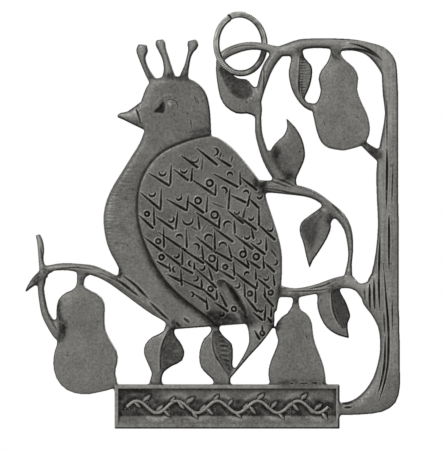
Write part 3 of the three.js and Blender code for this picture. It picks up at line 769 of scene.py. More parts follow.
def carving_tree(material):
    """Cuts a rounded groove along the lines of another object, throws up a small lip beside it, and leaves
    patina in it. A negative depth raises a ridge instead."""
    tree, given = geometry_tree("carving", {"Lines": "Object", "Half Width": "Float", "Depth": "Float",
                                            "Lip": "Float", "Patina": "Float"})
    here = add(tree, "GeometryNodeInputPosition")
    flat = add(tree, "ShaderNodeVectorMath", here, (1, 0, 1), operation="MULTIPLY")
    lines = add(tree, "GeometryNodeObjectInfo", {"Object": given["Lines"]}).outputs["Geometry"]
    away = add(tree, "GeometryNodeProximity", {"Geometry": lines, "Sample Position": flat},
               target_element="EDGES").outputs["Distance"]
    fullness = add(tree, "GeometryNodeInputNamedAttribute", "fullness", data_type="FLOAT")
    nearest = add(tree, "GeometryNodeSampleNearest", {"Geometry": lines, "Sample Position": flat})
    full = add(tree, "GeometryNodeSampleIndex", {"Geometry": lines, "Value": fullness, "Index": nearest})

    # a graver bites unevenly, a little deeper and shallower along each stroke
    bite = add(tree, "ShaderNodeTexNoise", {"Vector": flat, "Scale": 450.0, "Detail": 1.0})
    uneven = add(tree, "ShaderNodeMapRange", bite, 0.3, 0.7, 0.55, 1.35)
    half = add(tree, "ShaderNodeMath", given["Half Width"], full, operation="MULTIPLY")
    bowl = add(tree, "ShaderNodeMapRange", away, 0.0, half, 1.0, 0.0, interpolation_type="SMOOTHSTEP")
    groove = add(tree, "ShaderNodeMath", bowl, full, operation="MULTIPLY")
    # the lip rises from 0.7 half widths out, is highest at 1.3 and ends at 2.2
    foot, top, end = [add(tree, "ShaderNodeMath", half, out, operation="MULTIPLY") for out in (0.7, 1.3, 2.2)]
    rising = add(tree, "ShaderNodeMapRange", away, foot, top, 0.0, 1.0, interpolation_type="SMOOTHSTEP")
    falling = add(tree, "ShaderNodeMapRange", away, top, end, 1.0, 0.0, interpolation_type="SMOOTHSTEP")
    lip = add(tree, "ShaderNodeMath", rising, falling, operation="MULTIPLY")
    plain_cut = add(tree, "ShaderNodeMath", groove, given["Depth"], operation="MULTIPLY")
    cut = add(tree, "ShaderNodeMath", plain_cut, uneven, operation="MULTIPLY")
    thrown_up = add(tree, "ShaderNodeMath", lip, given["Lip"], operation="MULTIPLY")
    deeper = add(tree, "ShaderNodeMath", cut, thrown_up, operation="SUBTRACT")
    move = add(tree, "ShaderNodeCombineXYZ", {"Y": deeper})
    carved = add(tree, "GeometryNodeSetPosition", {"Geometry": given["Geometry"], "Offset": move})

    # where no line runs, what lies there already stays, also where it is brighter than plain
    no_line = add(tree, "ShaderNodeMapRange", groove, 0.0, 0.15, -1.0, 0.0)
    laid = add(tree, "ShaderNodeMath", groove, given["Patina"], operation="MULTIPLY")
    laid_unevenly = add(tree, "ShaderNodeMath", laid, uneven, operation="MULTIPLY")
    left = add(tree, "ShaderNodeMath", laid_unevenly, no_line, operation="ADD")
    old = add(tree, "GeometryNodeInputNamedAttribute", "patina", data_type="FLOAT")
    dark = add(tree, "ShaderNodeMath", old, left, operation="MAXIMUM")
    # and the lip's patina is taken down, a painted highlight beside the groove
    on_lip = add(tree, "ShaderNodeMath", lip, given["Patina"], operation="MULTIPLY")
    lightened = add(tree, "ShaderNodeMath", on_lip, 0.3, operation="MULTIPLY")
    patina = add(tree, "ShaderNodeMath", dark, lightened, operation="SUBTRACT")
    stored = add(tree, "GeometryNodeStoreNamedAttribute",
                 {"Geometry": carved, "Name": "patina", "Value": patina}, data_type="FLOAT", domain="POINT")
    return end_tree(tree, stored, material)


def feather_eye_tree(material):
    """Sets the eye of a feather mark at each point, as large and as turned as the point says: a ring where
    its "whole" is 1, and otherwise a crescent that is fullest in its middle."""
    tree, given = geometry_tree("feather_eyes", {"Crescent Sweep": "Float", "Ring Fullness": "Float"})
    kinds = add(tree, "GeometryNodeJoinGeometry")
    # what is joined last is picked first
    for sweep, thin in ((math.radians(356), given["Ring Fullness"]), (given["Crescent Sweep"], 0.4)):
        start = add(tree, "ShaderNodeMath", sweep, -0.5, operation="MULTIPLY")
        arc = add(tree, "GeometryNodeCurveArc", {"Resolution": 16, "Radius": 1.0, "Start Angle": start,
                                                 "Sweep Angle": sweep})
        share = add(tree, "GeometryNodeSplineParameter").outputs["Factor"]
        half_turn = add(tree, "ShaderNodeMath", share, math.pi, operation="MULTIPLY")
        bow = add(tree, "ShaderNodeMath", half_turn, operation="SINE")
        full = add(tree, "ShaderNodeMapRange", bow, 0.0, 1.0, thin, 1.0)
        cut = add(tree, "GeometryNodeStoreNamedAttribute",
                  {"Geometry": arc, "Name": "fullness", "Value": full}, data_type="FLOAT", domain="POINT")
        upright = add(tree, "GeometryNodeTransform", {"Geometry": cut, "Rotation": (math.pi / 2, 0, 0)})
        one = add(tree, "GeometryNodeGeometryToInstance", upright)
        tree.links.new(one.outputs[0], kinds.inputs[0])
    turn, size, whole = [add(tree, "GeometryNodeInputNamedAttribute", name, data_type=kind)
                         for name, kind in (("turn", "FLOAT"), ("size", "FLOAT"), ("whole", "INT"))]
    set_out = add(tree, "GeometryNodeInstanceOnPoints", {
        "Points": given["Geometry"], "Instance": kinds, "Pick Instance": True, "Instance Index": whole,
        "Rotation": add(tree, "ShaderNodeCombineXYZ", {"Y": turn}), "Scale": size})
    real = add(tree, "GeometryNodeRealizeInstances", set_out)
    return end_tree(tree, add(tree, "GeometryNodeCurveToMesh", real), material)


def stroke_row_tree(material):
    """Sets short strokes along a line, side by side, each a little off the others."""
    tree, given = geometry_tree("stroke_row", {"Spacing": "Float", "Length": "Float", "Slope": "Float",
                                               "Seed": "Int"})
    line = add(tree, "GeometryNodeMeshToCurve", given["Geometry"])
    spots = add(tree, "GeometryNodeCurveToPoints", {"Curve": line, "Length": given["Spacing"]}, mode="LENGTH")
    end = add(tree, "ShaderNodeCombineXYZ", {"X": given["Length"]})
    bare = add(tree, "GeometryNodeCurvePrimitiveLine", {"End": end})
    cut = add(tree, "GeometryNodeResampleCurve", {"Curve": bare, "Count": 7})
    share = add(tree, "GeometryNodeSplineParameter").outputs["Factor"]
    full = add(tree, "ShaderNodeMapRange", share, 0.0, 1.0, 1.0, 0.3, interpolation_type="SMOOTHSTEP")
    stroke = add(tree, "GeometryNodeStoreNamedAttribute",
                 {"Geometry": cut, "Name": "fullness", "Value": full}, data_type="FLOAT", domain="POINT")
    off, size = [add(tree, "FunctionNodeRandomValue", {2: least, 3: most, "Seed": given["Seed"]}).outputs[1]
                 for least, most in ((-0.12, 0.12), (0.65, 1.1))]
    turn = add(tree, "ShaderNodeMath", off, given["Slope"], operation="SUBTRACT")
    tilt = add(tree, "ShaderNodeCombineXYZ", {"Y": turn})
    set_out = add(tree, "GeometryNodeInstanceOnPoints",
                  {"Points": spots, "Instance": stroke, "Rotation": tilt, "Scale": size})
    real = add(tree, "GeometryNodeRealizeInstances", set_out)
    return end_tree(tree, add(tree, "GeometryNodeCurveToMesh", real), material)


# Finishes

def colour(text):
    """An sRGB hex colour as linear light."""
    parts = [int(text[i:i + 2], 16) / 255 for i in (1, 3, 5)]
    return (*[p / 12.92 if p <= 0.04045 else ((p + 0.055) / 1.055) ** 2.4 for p in parts], 1)


def per_mm(size):
    """The scale that gives a noise pattern grains of about this size in mm."""
    return 1 / (size * MM)


def start_material(name):
    """A new material, its tree and the surface in it."""
    material = bpy.data.materials.new(name)
    material.use_nodes = True
    tree = material.node_tree
    return material, tree, tree.nodes["Principled BSDF"]


def antiqued_pewter():
    """Antiqued pewter: tin cast in a carved mould, darkened with acid and buffed by hand. It is a soft mid
    grey with a fine sandy skin, nearly black where the buff can't reach, and lighter where it can. Its
    darkness also carries painted shade and highlights."""
    material, tree, surface = start_material("antiqued_cast_pewter")
    here = add(tree, "ShaderNodeTexCoord").outputs["Object"]
    patina = add(tree, "ShaderNodeAttribute", attribute_name="patina").outputs["Fac"]
    # the buff left broad patches 3 to 4 mm across, the mould's skin has grains of about 0.4 mm, and here and
    # there is a dark pit, about 0.3 mm wide, where a gas bubble lay on the mould
    patches = add(tree, "ShaderNodeTexNoise", {"Vector": here, "Scale": per_mm(3.5), "Detail": 2.0})
    skin = add(tree, "ShaderNodeTexNoise",
               {"Vector": here, "Scale": per_mm(0.42), "Detail": 3.0, "Roughness": 0.65})
    bubbles = add(tree, "ShaderNodeTexNoise", {"Vector": here, "Scale": per_mm(0.75), "Detail": 1.0})
    # the back was rubbed flat on an abrasive sheet, which left fine straight strokes, a little aslant
    facing = add(tree, "ShaderNodeSeparateXYZ", add(tree, "ShaderNodeNewGeometry").outputs["Normal"])
    back = add(tree, "ShaderNodeMapRange", facing.outputs["Y"], 0.9, 0.98, 0.0, 1.0)
    drawn = add(tree, "ShaderNodeMapping", {"Vector": here, "Rotation": (0, 0.5, 0), "Scale": (0.05, 1, 1)})
    strokes = add(tree, "ShaderNodeTexNoise", {"Vector": drawn, "Scale": per_mm(0.4), "Detail": 2.0})
    bright = add(tree, "ShaderNodeMapRange", strokes, 0.3, 0.7, -0.26, -0.08)
    lightened = add(tree, "ShaderNodeMath", back, bright, operation="MULTIPLY")

    # how dark the metal is: the patina and painted shade, and what each of these adds to it
    tone = add(tree, "ShaderNodeMapRange", patina, -0.4, 1.0, 0.0, 1.0)
    for value, start, end, least, most in ((patches, 0.3, 0.7, -0.05, 0.06), (skin, 0.3, 0.7, -0.14, 0.14),
                                           (bubbles, 0.72, 0.8, 0.0, 0.4)):
        part = add(tree, "ShaderNodeMapRange", value, start, end, least, most)
        tone = add(tree, "ShaderNodeMath", tone, part, operation="ADD")
    tone = add(tree, "ShaderNodeMath", tone, lightened, operation="ADD")
    ramp = add(tree, "ShaderNodeValToRGB", tone)
    stops = ramp.color_ramp.elements
    stops[0].position, stops[0].color = 0.0, colour("#8d8c88")
    stops[1].position, stops[1].color = 1.0, colour("#151413")
    for position, shade in ((0.28, "#6f6e6b"), (0.6, "#484745")):
        stops.new(position).color = colour(shade)
    # the darker, the less bare metal shows, and the rougher it is
    metallic = add(tree, "ShaderNodeMapRange", tone, 0.28, 1.0, 0.61, 0.25)
    satin = add(tree, "ShaderNodeMapRange", tone, 0.28, 1.0, 0.53, 0.66)
    sandy = add(tree, "ShaderNodeMapRange", skin, 0.3, 0.7, -0.05, 0.05)
    relief = add(tree, "ShaderNodeBump", {"Height": skin, "Strength": 0.5, "Distance": 0.06 * MM})
    for socket, node in (("Base Color", ramp), ("Metallic", metallic), ("Normal", relief),
                         ("Roughness", add(tree, "ShaderNodeMath", satin, sandy, operation="ADD"))):
        tree.links.new(node.outputs[0], surface.inputs[socket])
    surface.inputs["Specular IOR Level"].default_value = 0.2   # the patina is dull
    return material


def drawn_wire():
    """Tinned brass wire, drawn bright: paler than the casting, with fine lines left by the drawing die, grey
    tarnish in clouds, and painted shade on the sides that face away from the light."""
    material, tree, surface = start_material("bright_drawn_wire")
    here = add(tree, "ShaderNodeTexCoord").outputs["Object"]
    darkening = add(tree, "ShaderNodeAttribute", attribute_name="tarnish").outputs["Fac"]
    # tarnish lies in clouds of about 1.6 mm, and the die's lines are about 0.25 mm apart
    clouds = add(tree, "ShaderNodeTexNoise", {"Vector": here, "Scale": per_mm(1.6), "Detail": 3.0})
    scratches = add(tree, "ShaderNodeTexNoise", {"Vector": here, "Scale": per_mm(0.25), "Detail": 2.0})
    both = add(tree, "ShaderNodeMath", darkening, clouds, operation="ADD")
    ramp = add(tree, "ShaderNodeValToRGB", both)
    stops = ramp.color_ramp.elements
    stops[0].position, stops[0].color = 0.38, colour("#bbbab6")
    stops[1].position, stops[1].color = 1.0, colour("#1e1d1b")
    stops.new(0.62).color = colour("#83827e")
    rough = add(tree, "ShaderNodeMapRange", scratches, 0.3, 0.7, 0.36, 0.5)
    relief = add(tree, "ShaderNodeBump", {"Height": scratches, "Strength": 0.25, "Distance": 0.03 * MM})
    for socket, node in (("Base Color", ramp), ("Roughness", rough), ("Normal", relief)):
        tree.links.new(node.outputs[0], surface.inputs[socket])
    surface.inputs["Metallic"].default_value = 0.6   # a film of tarnish covers part of it
    return material


PEWTER = antiqued_pewter()
WIRE_METAL = drawn_wire()


# What is carved into the casting

# The eyes of the wing's feather marks: where each is, its radius in pixels, and where its crescent is
# fullest, in degrees round from the right, or None for a whole ring
FEATHER_EYES = [
    (162.8, 172.2, 3.6, 270), (184, 169.8, 3.3, 270), (194.8, 159, 3.8, 280), (152.3, 193, 3.4, 280),
    (178.8, 197, 3, 300), (198.2, 200.8, 3, None), (214.5, 152, 3.6, 0), (209.8, 183.2, 3.1, None),
    (230, 175.5, 2.6, 90), (223.5, 191, 3.3, 40), (246, 193.5, 2.6, 70), (259.5, 196, 2.6, 285),
    (147.3, 214, 2.2, None), (171, 219, 3.2, 310), (188, 219.5, 5.2, 280), (179.5, 238, 3.2, 80),
    (158.5, 241.4, 2.3, None), (195.8, 247.3, 3.4, 40), (176.5, 255, 2.7, 300), (161.8, 257.2, 2.4, None),
    (214.7, 215, 3.4, None), (228, 225.5, 3.9, 120), (236.8, 211.8, 2.6, 280), (251, 217.5, 2.6, 280),
    (209, 238.8, 4, 110), (247, 236, 2.8, 280), (258.3, 241.5, 2.6, 320), (270, 228.5, 2.8, 290),
    (223, 246.5, 3.8, 90), (243, 254.3, 2.9, None), (256.2, 256.7, 2.9, None), (274.5, 262, 2.8, 320),
    (212.2, 258.5, 3.1, None), (175.8, 269.3, 2.8, 190), (191.8, 263.5, 2.8, 190), (202, 267.3, 2.8, 310),
    (195.3, 278, 2.8, 320), (210.8, 288.8, 2.5, None), (191, 294.3, 2.6, 0), (225.3, 267, 2.2, None),
    (247, 274.5, 2.4, 110), (237, 285, 2.8, 310), (249.8, 293.5, 2.3, None), (266, 277.3, 2.7, 285),
    (270.6, 292.5, 2.3, None), (260.7, 309, 2.5, 265), (234, 308.8, 2.3, None), (221.5, 313.3, 2.6, 310),
    (262.3, 333.3, 2.1, None)]
# The slanting strokes under them, cut from thin to full, and the upright ones at their feet
WING_SLANTS = [
    [(152.5, 175.5), (169.3, 185.7)], [(176.5, 171.5), (188, 180.3)], [(184.5, 158), (197.5, 167.5)],
    [(200.5, 151.5), (217, 165)], [(219.5, 159.5), (230.5, 166.5)], [(144.5, 196), (160.8, 209.8)],
    [(170.5, 201.5), (186.5, 210.5)], [(190.3, 203), (203.5, 212.7)], [(194.5, 181.5), (215, 195.3)],
    [(218, 176.5), (237.5, 187)], [(242.5, 179), (256.5, 190)], [(233, 196.5), (245.5, 202.5)],
    [(251, 200.5), (258.5, 208)], [(141.5, 217.5), (153, 228)], [(158.5, 218.5), (173.5, 229)],
    [(200.5, 215.5), (219.5, 228)], [(230, 212.5), (243, 223)], [(240, 217.5), (256, 229.5)],
    [(260.5, 226.5), (274.5, 239.5)], [(216.5, 230), (232.5, 241.5)], [(199.5, 239.5), (216, 252.5)],
    [(216.5, 252.5), (231, 260.5)], [(237, 237), (252.5, 249)], [(253, 245), (264.5, 254)],
    [(163.5, 235.5), (185.5, 250.5)], [(185.5, 251), (203.5, 263)], [(148, 240), (162.5, 251)],
    [(166, 254), (180.5, 265)], [(159, 262.5), (168.5, 268)], [(181.5, 267), (192.5, 273)],
    [(170, 275.5), (180.5, 281)], [(182.5, 280), (195, 286), (203.5, 289.5)], [(203.5, 289.5), (215.5, 300)],
    [(197.5, 270.5), (209, 280.5), (216, 287.5)], [(196, 295), (206, 302)], [(203.5, 259.5), (216.8, 271)],
    [(233.5, 257), (248.5, 267.5)], [(250, 261.5), (259.5, 268)], [(220, 270.5), (233.5, 278.5)],
    [(235.5, 272.5), (243, 279), (256, 288.5)], [(259.5, 280), (269, 288)], [(265.5, 263.5), (274, 271.5)],
    [(246.5, 298), (257, 311)], [(254.5, 313.5), (262.5, 320)], [(264.5, 296), (273, 306)],
    [(255.5, 332), (259.5, 339)], [(216.5, 303.5), (227.5, 311)], [(221, 295), (226.5, 306)],
    [(268, 317.5), (271, 322)]]
WING_UPRIGHTS = [
    [(171.5, 165), (170.5, 184)], [(192.5, 168), (191.5, 181)], [(161.5, 189), (161, 208)],
    [(188.5, 195), (187.3, 210)], [(208, 195), (206.5, 212)], [(216, 184), (215.5, 195)],
    [(240, 172), (240.5, 184.5)], [(230, 188), (228.5, 209)], [(250.5, 192.5), (247.5, 206)],
    [(154, 207), (154.7, 225)], [(178, 211), (176, 229)], [(198, 216), (199.7, 229)],
    [(163.8, 227), (164.2, 247)], [(186.3, 229), (187, 247)], [(202, 245.5), (203.5, 258.5)],
    [(182.5, 251), (182.5, 264.5)], [(220, 215), (219.2, 226)], [(245.3, 208), (243.3, 217.5)],
    [(258.8, 206), (259, 225)], [(234.2, 220), (235, 233)], [(251.3, 228), (253.5, 238.5)],
    [(214.7, 231), (215, 249)], [(266, 237), (266.3, 250)], [(228.5, 245), (231.5, 257.5)],
    [(243.5, 246), (246, 252.5)], [(217.7, 256), (217.3, 270)], [(246.5, 258), (248.5, 265)],
    [(263, 256), (264, 268)], [(233.5, 262), (234.5, 275)], [(255.5, 268.5), (256, 279)],
    [(257, 281), (257, 286.5)], [(255.3, 288), (255.5, 302)], [(264.5, 287), (265, 297)],
    [(273, 274), (274.5, 285)], [(244.3, 283), (245, 296)], [(265.8, 304), (264.5, 320)],
    [(271.3, 306), (271, 316)], [(206.3, 297), (207.5, 309)], [(208.5, 267), (212.5, 280)],
    [(180.8, 269), (182, 285)], [(169.3, 263), (170.5, 271)], [(194.3, 262), (194.5, 269)],
    [(201.5, 279), (202, 287)], [(262, 325), (262.5, 330)], [(216.5, 290), (217, 299)]]
# Lighter scratches among them
WING_SCRATCHES = [
    [(203, 158), (201.7, 172)], [(221.5, 152), (219.5, 159)], [(232.5, 156), (231.2, 163)],
    [(210, 202), (218, 205.5), (226.5, 208.5)], [(191, 226.5), (199.5, 231.5)], [(206.5, 224), (203, 230.5)],
    [(270.5, 249), (277, 258)]]

# The head: the eye's rim, the brow over it, scratches in the cheeks, and the beak's split
EYE_LINES = [
    [(165, 101.5), (171, 99.8), (176.5, 102.5), (178, 107), (176, 112)],
    [(163.5, 100), (164.8, 106), (164.5, 113)]]
BROW_LINE = [(156, 105), (161, 99), (168, 96), (176, 98), (181, 103)]
FACE_SCRATCHES = [
    [(194, 95), (197, 104)], [(196.5, 97), (199, 106)], [(190.5, 118), (191.8, 128)],
    [(155, 94), (157, 95.5)]]
BEAK_LINES = [[(136, 108.5), (138.5, 115), (141, 125)]]

# Bark: the deep cuts, then the finer ones beside them
BARK_LINES = [
    [(388.7, 215), (388.8, 240), (388.7, 270)], [(380, 236), (379, 262), (378.8, 290), (379.7, 311)],
    [(383, 263), (384.5, 280), (386, 300), (387.4, 316), (388.2, 330), (388.2, 347), (387.5, 364), (385, 379),
     (381.5, 392), (378.5, 402)], [(385, 336), (384.8, 352), (384, 366), (381.5, 380), (377.5, 394)],
    [(373.8, 278), (374, 295), (374.6, 310)], [(369.5, 284), (369.5, 298), (370, 310)],
    [(386.6, 148), (386.8, 172), (386, 210)], [(344, 407.3), (348, 407.2), (352, 407)],
    [(342, 404), (347, 403.4), (353, 402)], [(356, 39.5), (362, 40.6), (367, 42)],
    [(343, 48.6), (357, 49.2), (366, 51.4), (373, 54.8), (379, 59)],
    [(349, 43.6), (358, 45.6), (367, 49.2), (375, 54), (382, 61)]]
BARK_FINE = [
    [(393, 162), (392.2, 185), (391.5, 203)], [(364, 289), (365, 301)], [(386.5, 100), (386.8, 148)],
    [(352, 52), (361, 54), (369, 59), (375, 66)], [(325, 39.2), (350, 39.7), (360, 41)],
    [(332, 52), (334, 59)], [(338, 52), (341, 59)], [(262, 188), (276, 190), (292, 193), (306, 195)],
    [(268, 180), (280, 184), (294, 189)], [(276, 178), (286, 182), (296, 187)],
    [(330, 203), (338, 211), (344, 219)], [(284, 291), (300, 291), (318, 290.5), (332, 288)],
    [(352, 272), (357, 283)], [(306, 289), (322, 286), (334, 281)], [(392, 300), (392.4, 330)],
    [(383.5, 312), (384.5, 334)]]
# Cuts under the belly, along the thin branches, and in the leaves
BELLY_LINES = [
    [(114, 277), (126, 286), (140, 297)], [(122, 275), (134, 284), (142, 292), (150, 300)],
    [(150, 302), (160, 312), (170, 321)], [(184, 318), (190, 323)], [(176, 322), (180, 327)]]
TWIG_LINES = [
    [(41, 246), (42, 262)], [(33, 282), (41, 276)], [(44, 282), (44.5, 300), (49, 318)],
    [(52, 322), (58, 331)], [(56, 269), (76, 267.5), (96, 270)], [(97, 272), (110, 277), (122, 284)],
    [(231, 49), (244, 45.5), (258, 46)], [(262, 60), (264, 78), (262, 100)]]
LEAF_VEINS = [
    [(300, 55), (299.5, 72), (299, 88), (301, 99)], [(331, 292), (332.5, 306), (335.5, 317), (341, 328)],
    [(168, 331), (162, 346), (160.5, 360), (160.5, 374)],
    [(213, 330), (213, 345), (216, 356), (221.5, 365), (230, 378)]]
LEAF_RIBS = [
    [(218, 341), (226, 342)], [(218.5, 345.5), (229, 346.5)], [(219, 350), (230, 351.5)],
    [(220, 354.5), (230, 356.5)], [(222, 359), (231, 362)], [(225, 363.5), (231, 367)],
    [(228, 368), (231.5, 371)], [(218, 336.5), (224, 337.5)]]
# The branch that stands out of the belly
BELLY_BRANCH = [(112, 277), (128, 290), (146, 303), (162, 314), (172, 324)]
# The groove under the wing's tip, and the curl that it starts with
FOLD_LINE = [(226.5, 283), (230, 287), (234, 292.5), (238, 299), (242, 306), (246, 313), (249.5, 322)]
FOLD_CURL = [(216.5, 284), (218, 281.5), (221, 280.3), (224.5, 281), (228, 284)]
# Small pits along the foot of the fruit that stands on the bar
PITS = [
    [(290, 383.3), (294, 383)], [(299, 382.8), (304, 383.2), (309, 382.8)], [(312, 382.5), (318, 383.2)],
    [(322, 382), (325.5, 384.5)]]
# Where rows of short strokes start: along the breast, and down the middle of the top leaf
BREAST_EDGE = [(112, 182), (107, 194), (104.5, 206), (104, 220), (105, 238), (109, 255)]
TOP_LEAF_RIB = [(301, 60), (300.5, 74), (300.5, 86), (302, 96)]


def carve(sheet, tree, name, lines, half_width, depth, lip, patina, taper="both"):
    """Sets the carving tree to one tool: the lines it follows, and its sizes in mm. Gives back the object
    that holds the lines."""
    guide = lines
    if not isinstance(lines, bpy.types.Object):
        guide = lines_object(name, [flowing(line) for line in lines], taper)
    set_tree(sheet, tree, {"Lines": guide, "Half Width": half_width * MM, "Depth": depth * MM,
                           "Lip": lip * MM, "Patina": patina})
    return guide


def feather_eyes():
    """The eyes of the wing's feather marks, as lines to carve."""
    points = bpy.data.meshes.new("feather_eyes")
    spots = [at(x, y) for x, y, _, _ in FEATHER_EYES]
    points.from_pydata([(x * MM, 0, z * MM) for x, z in spots], [], [])
    keep(points, "turn", [0 if fullest is None else -math.radians(fullest) for *_, fullest in FEATHER_EYES])
    keep(points, "size", [radius * PIXEL * MM for _, _, radius, _ in FEATHER_EYES])
    keep(points, "whole", [fullest is None for *_, fullest in FEATHER_EYES], "INT")
    eyes = place("feather_eyes", points)
    set_tree(eyes, feather_eye_tree(PEWTER), {"Crescent Sweep": math.radians(200), "Ring Fullness": 0.8})
    return made_plain(eyes)


def stroke_row(name, tree, line, spacing, length, slope, seed):
    """A row of short strokes along a line, as lines to carve. Sizes are in mm, and the slope in radians."""
    row = lines_object(name, [flowing(line)])
    set_tree(row, tree, {"Spacing": spacing * MM, "Length": length * MM, "Slope": slope, "Seed": seed})
    return made_plain(row)


def vine_line():
    """The line of the vine that runs along the name bar's panel, in mm."""
    x0, middle = at(127, 406.5)
    x1 = at(328, 406.5)[0]
    x = np.linspace(x0, x1, 301)
    return np.stack([x, middle + 1.1 * np.sin((x - x0) / (x1 - x0) * 10 * math.pi)], 1)


def drawn_out(lines, share):
    """Straight lines, each begun earlier by a share of its length."""
    return [[tuple(np.add(line[0], np.subtract(line[0], line[-1]) * share))] + line[1:] for line in lines]


def carve_casting(sheet):
    """Every line that the pattern maker and the engraver cut."""
    tree, rows = carving_tree(PEWTER), stroke_row_tree(PEWTER)
    top_ribs = stroke_row("ribs_top", rows, TOP_LEAF_RIB, 0.5, 2.2, 0.05, 8)
    hatch = stroke_row("breast_hatch", rows, BREAST_EDGE, 0.62, 3.0, -0.06, 11)
    beside_vine = lines_object("beside_the_vine", [vine_line()], "none")
    # each tool's lines, then in mm half its width, its depth and its lip's height, then its patina and taper
    tools = {
        "marks_haze": (WING_SLANTS + WING_UPRIGHTS, 0.65, 0, 0, 0.3),
        "feather_eyes": (feather_eyes(), 0.25, 0.32, 0.14, 1.65),
        "wing_slants": (drawn_out(WING_SLANTS, 0.22), 0.28, 0.38, 0.16, 1.65, "start"),
        "wing_uprights": (WING_UPRIGHTS, 0.24, 0.3, 0.13, 1.55, "start"),
        "wing_scratches": (WING_SCRATCHES, 0.22, 0.16, 0.04, 0.9),
        "fold_haze": ([FOLD_LINE], 1.3, 0.15, 0, 0.6, "start"),
        "fold": ([FOLD_LINE[:6]], 0.62, 0.3, 0.05, 1.1),
        "fold_curl": ([FOLD_CURL], 0.24, 0.2, 0.06, 1.1),
        "belly_branch": ([BELLY_BRANCH], 1.3, -0.3, 0, 0, "none"),
        "bark": (BARK_LINES, 0.26, 0.32, 0.17, 1.5),
        "bark_fine": (BARK_FINE, 0.2, 0.18, 0.1, 0.8),
        "belly": (BELLY_LINES, 0.32, 0.3, 0.1, 1.3),
        "twigs": (TWIG_LINES, 0.22, 0.16, 0.04, 0.6),
        "veins": (LEAF_VEINS, 0.26, 0.16, 0.1, 1.0),
        "leaf_ribs": (LEAF_RIBS, 0.26, 0.16, 0.08, 0.95),
        "ribs_top": (top_ribs, 0.16, 0.1, 0.04, 0.6),
        "breast_hatch": (hatch, 0.15, 0.06, 0.02, 0.3),
        "eye": (EYE_LINES, 0.2, 0.14, 0.03, 0.62),
        "brow": ([BROW_LINE], 0.5, -0.07, 0, 0),
        "beak": (BEAK_LINES, 0.24, 0.2, 0.05, 0.9),
        "face_scratches": (FACE_SCRATCHES, 0.2, 0.1, 0.04, 0.7),
        "beside_the_vine": (beside_vine, 0.9, 0, 0, 1.25),
        "pits": (PITS, 0.2, 0.12, 0.03, 1.2),
    }
    guides = [carve(sheet, tree, name, *tool) for name, tool in tools.items()]
    made_plain(sheet)
    for guide in guides:
        bpy.data.objects.remove(guide)


# The casting's pieces

BACK_PATINA = 0.35     # what the flat back keeps, where an abrasive sheet rubbed it


def cast_piece(node, corners, normals, patina, faces):
    """One closed piece of the casting: its part of the carved sheet, walls straight down to the flat back,
    and the back itself."""
    used, order = np.unique(np.concatenate([one.ravel() for one in faces]), return_inverse=True)
    parted = np.split(order, np.cumsum([one.size for one in faces])[:-1])
    front = [part.reshape(-1, one.shape[1]) for part, one in zip(parted, faces)]
    top = corners[used]
    starts = np.concatenate([one.ravel() for one in front])
    ends = np.concatenate([np.roll(one, -1, 1).ravel() for one in front])
    border = ~np.isin(starts * len(top) + ends, ends * len(top) + starts)
    starts, ends = starts[border], ends[border]

    # each corner on the border gets one straight below it, on the back
    rim = np.unique(starts)
    below = np.full(len(top), -1)
    below[rim] = len(top) + np.arange(len(rim))
    under = top[rim] * (1, 0, 1) + (0, BACK, 0)
    walls = np.stack([ends, starts, below[starts], below[ends]], 1)
    outline = below[np.stack([starts, ends], 1)] - len(top)
    flat = [Vector((p[0], p[2])) for p in under]
    _, _, triangles, sources, _, _ = delaunay_2d_cdt(flat, outline.tolist(), [], 2, 1e-6)
    origin = np.array([one[0] for one in sources])
    back = origin[np.array([f for f in triangles if len(f) == 3])] + len(top)
    whole = np.concatenate([top, under])
    a, b, c = (whole[back[:, i]][:, [0, 2]] for i in range(3))
    turned = (b[:, 0] - a[:, 0]) * (c[:, 1] - a[:, 1]) - (b[:, 1] - a[:, 1]) * (c[:, 0] - a[:, 0]) > 0
    back[turned] = back[turned][:, ::-1]

    mesh = mesh_of("cast_" + node, whole, [front[0], front[1], walls, back])
    along = whole[ends] - whole[starts]
    outward = np.stack([along[:, 2], np.zeros(len(along)), -along[:, 0]], 1)
    aside = np.zeros((len(whole), 3))
    for side in (starts, ends):
        np.add.at(aside, side, outward)
        np.add.at(aside, below[side], outward)
    aside /= np.maximum(np.linalg.norm(aside, axis=1, keepdims=True), 1e-9)
    loops = np.concatenate([normals[used][np.concatenate([one.ravel() for one in front])],
                            aside[walls.ravel()], np.tile((0.0, 1.0, 0.0), (back.size, 1))])
    mesh.normals_split_custom_set(loops.tolist())
    keep(mesh, "patina", np.concatenate([patina[used], np.full(len(rim), BACK_PATINA)]).astype(np.float32))
    mesh.materials.append(PEWTER)
    return place("cast_" + node, mesh)


def make_casting():
    """The whole casting, as one piece for each named region of it."""
    corners, shade, faces, owners = cut_sheet(sheet_of_heights())
    mesh = mesh_of("sheet", corners, faces)
    keep(mesh, "patina", shade.astype(np.float32))
    mesh.shade_smooth()
    sheet = place("sheet", mesh)
    carve_casting(sheet)
    carved = sheet.data
    corners, normals = np.empty(len(carved.vertices) * 3), np.empty(len(carved.vertices) * 3)
    patina = np.empty(len(carved.vertices))
    carved.vertices.foreach_get("co", corners)
    carved.vertex_normals.foreach_get("vector", normals)
    carved.attributes["patina"].data.foreach_get("value", patina)
    corners, normals = corners.reshape(-1, 3) / MM, normals.reshape(-1, 3)
    for number, node in enumerate(CAST):
        mine = [one[owner == number] for one, owner in zip(faces, owners)]
        made = cast_piece(node, corners, normals, patina, mine)
        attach(made, "casting")
        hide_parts(node)
    bpy.data.objects.remove(sheet)


# The vine on the name bar

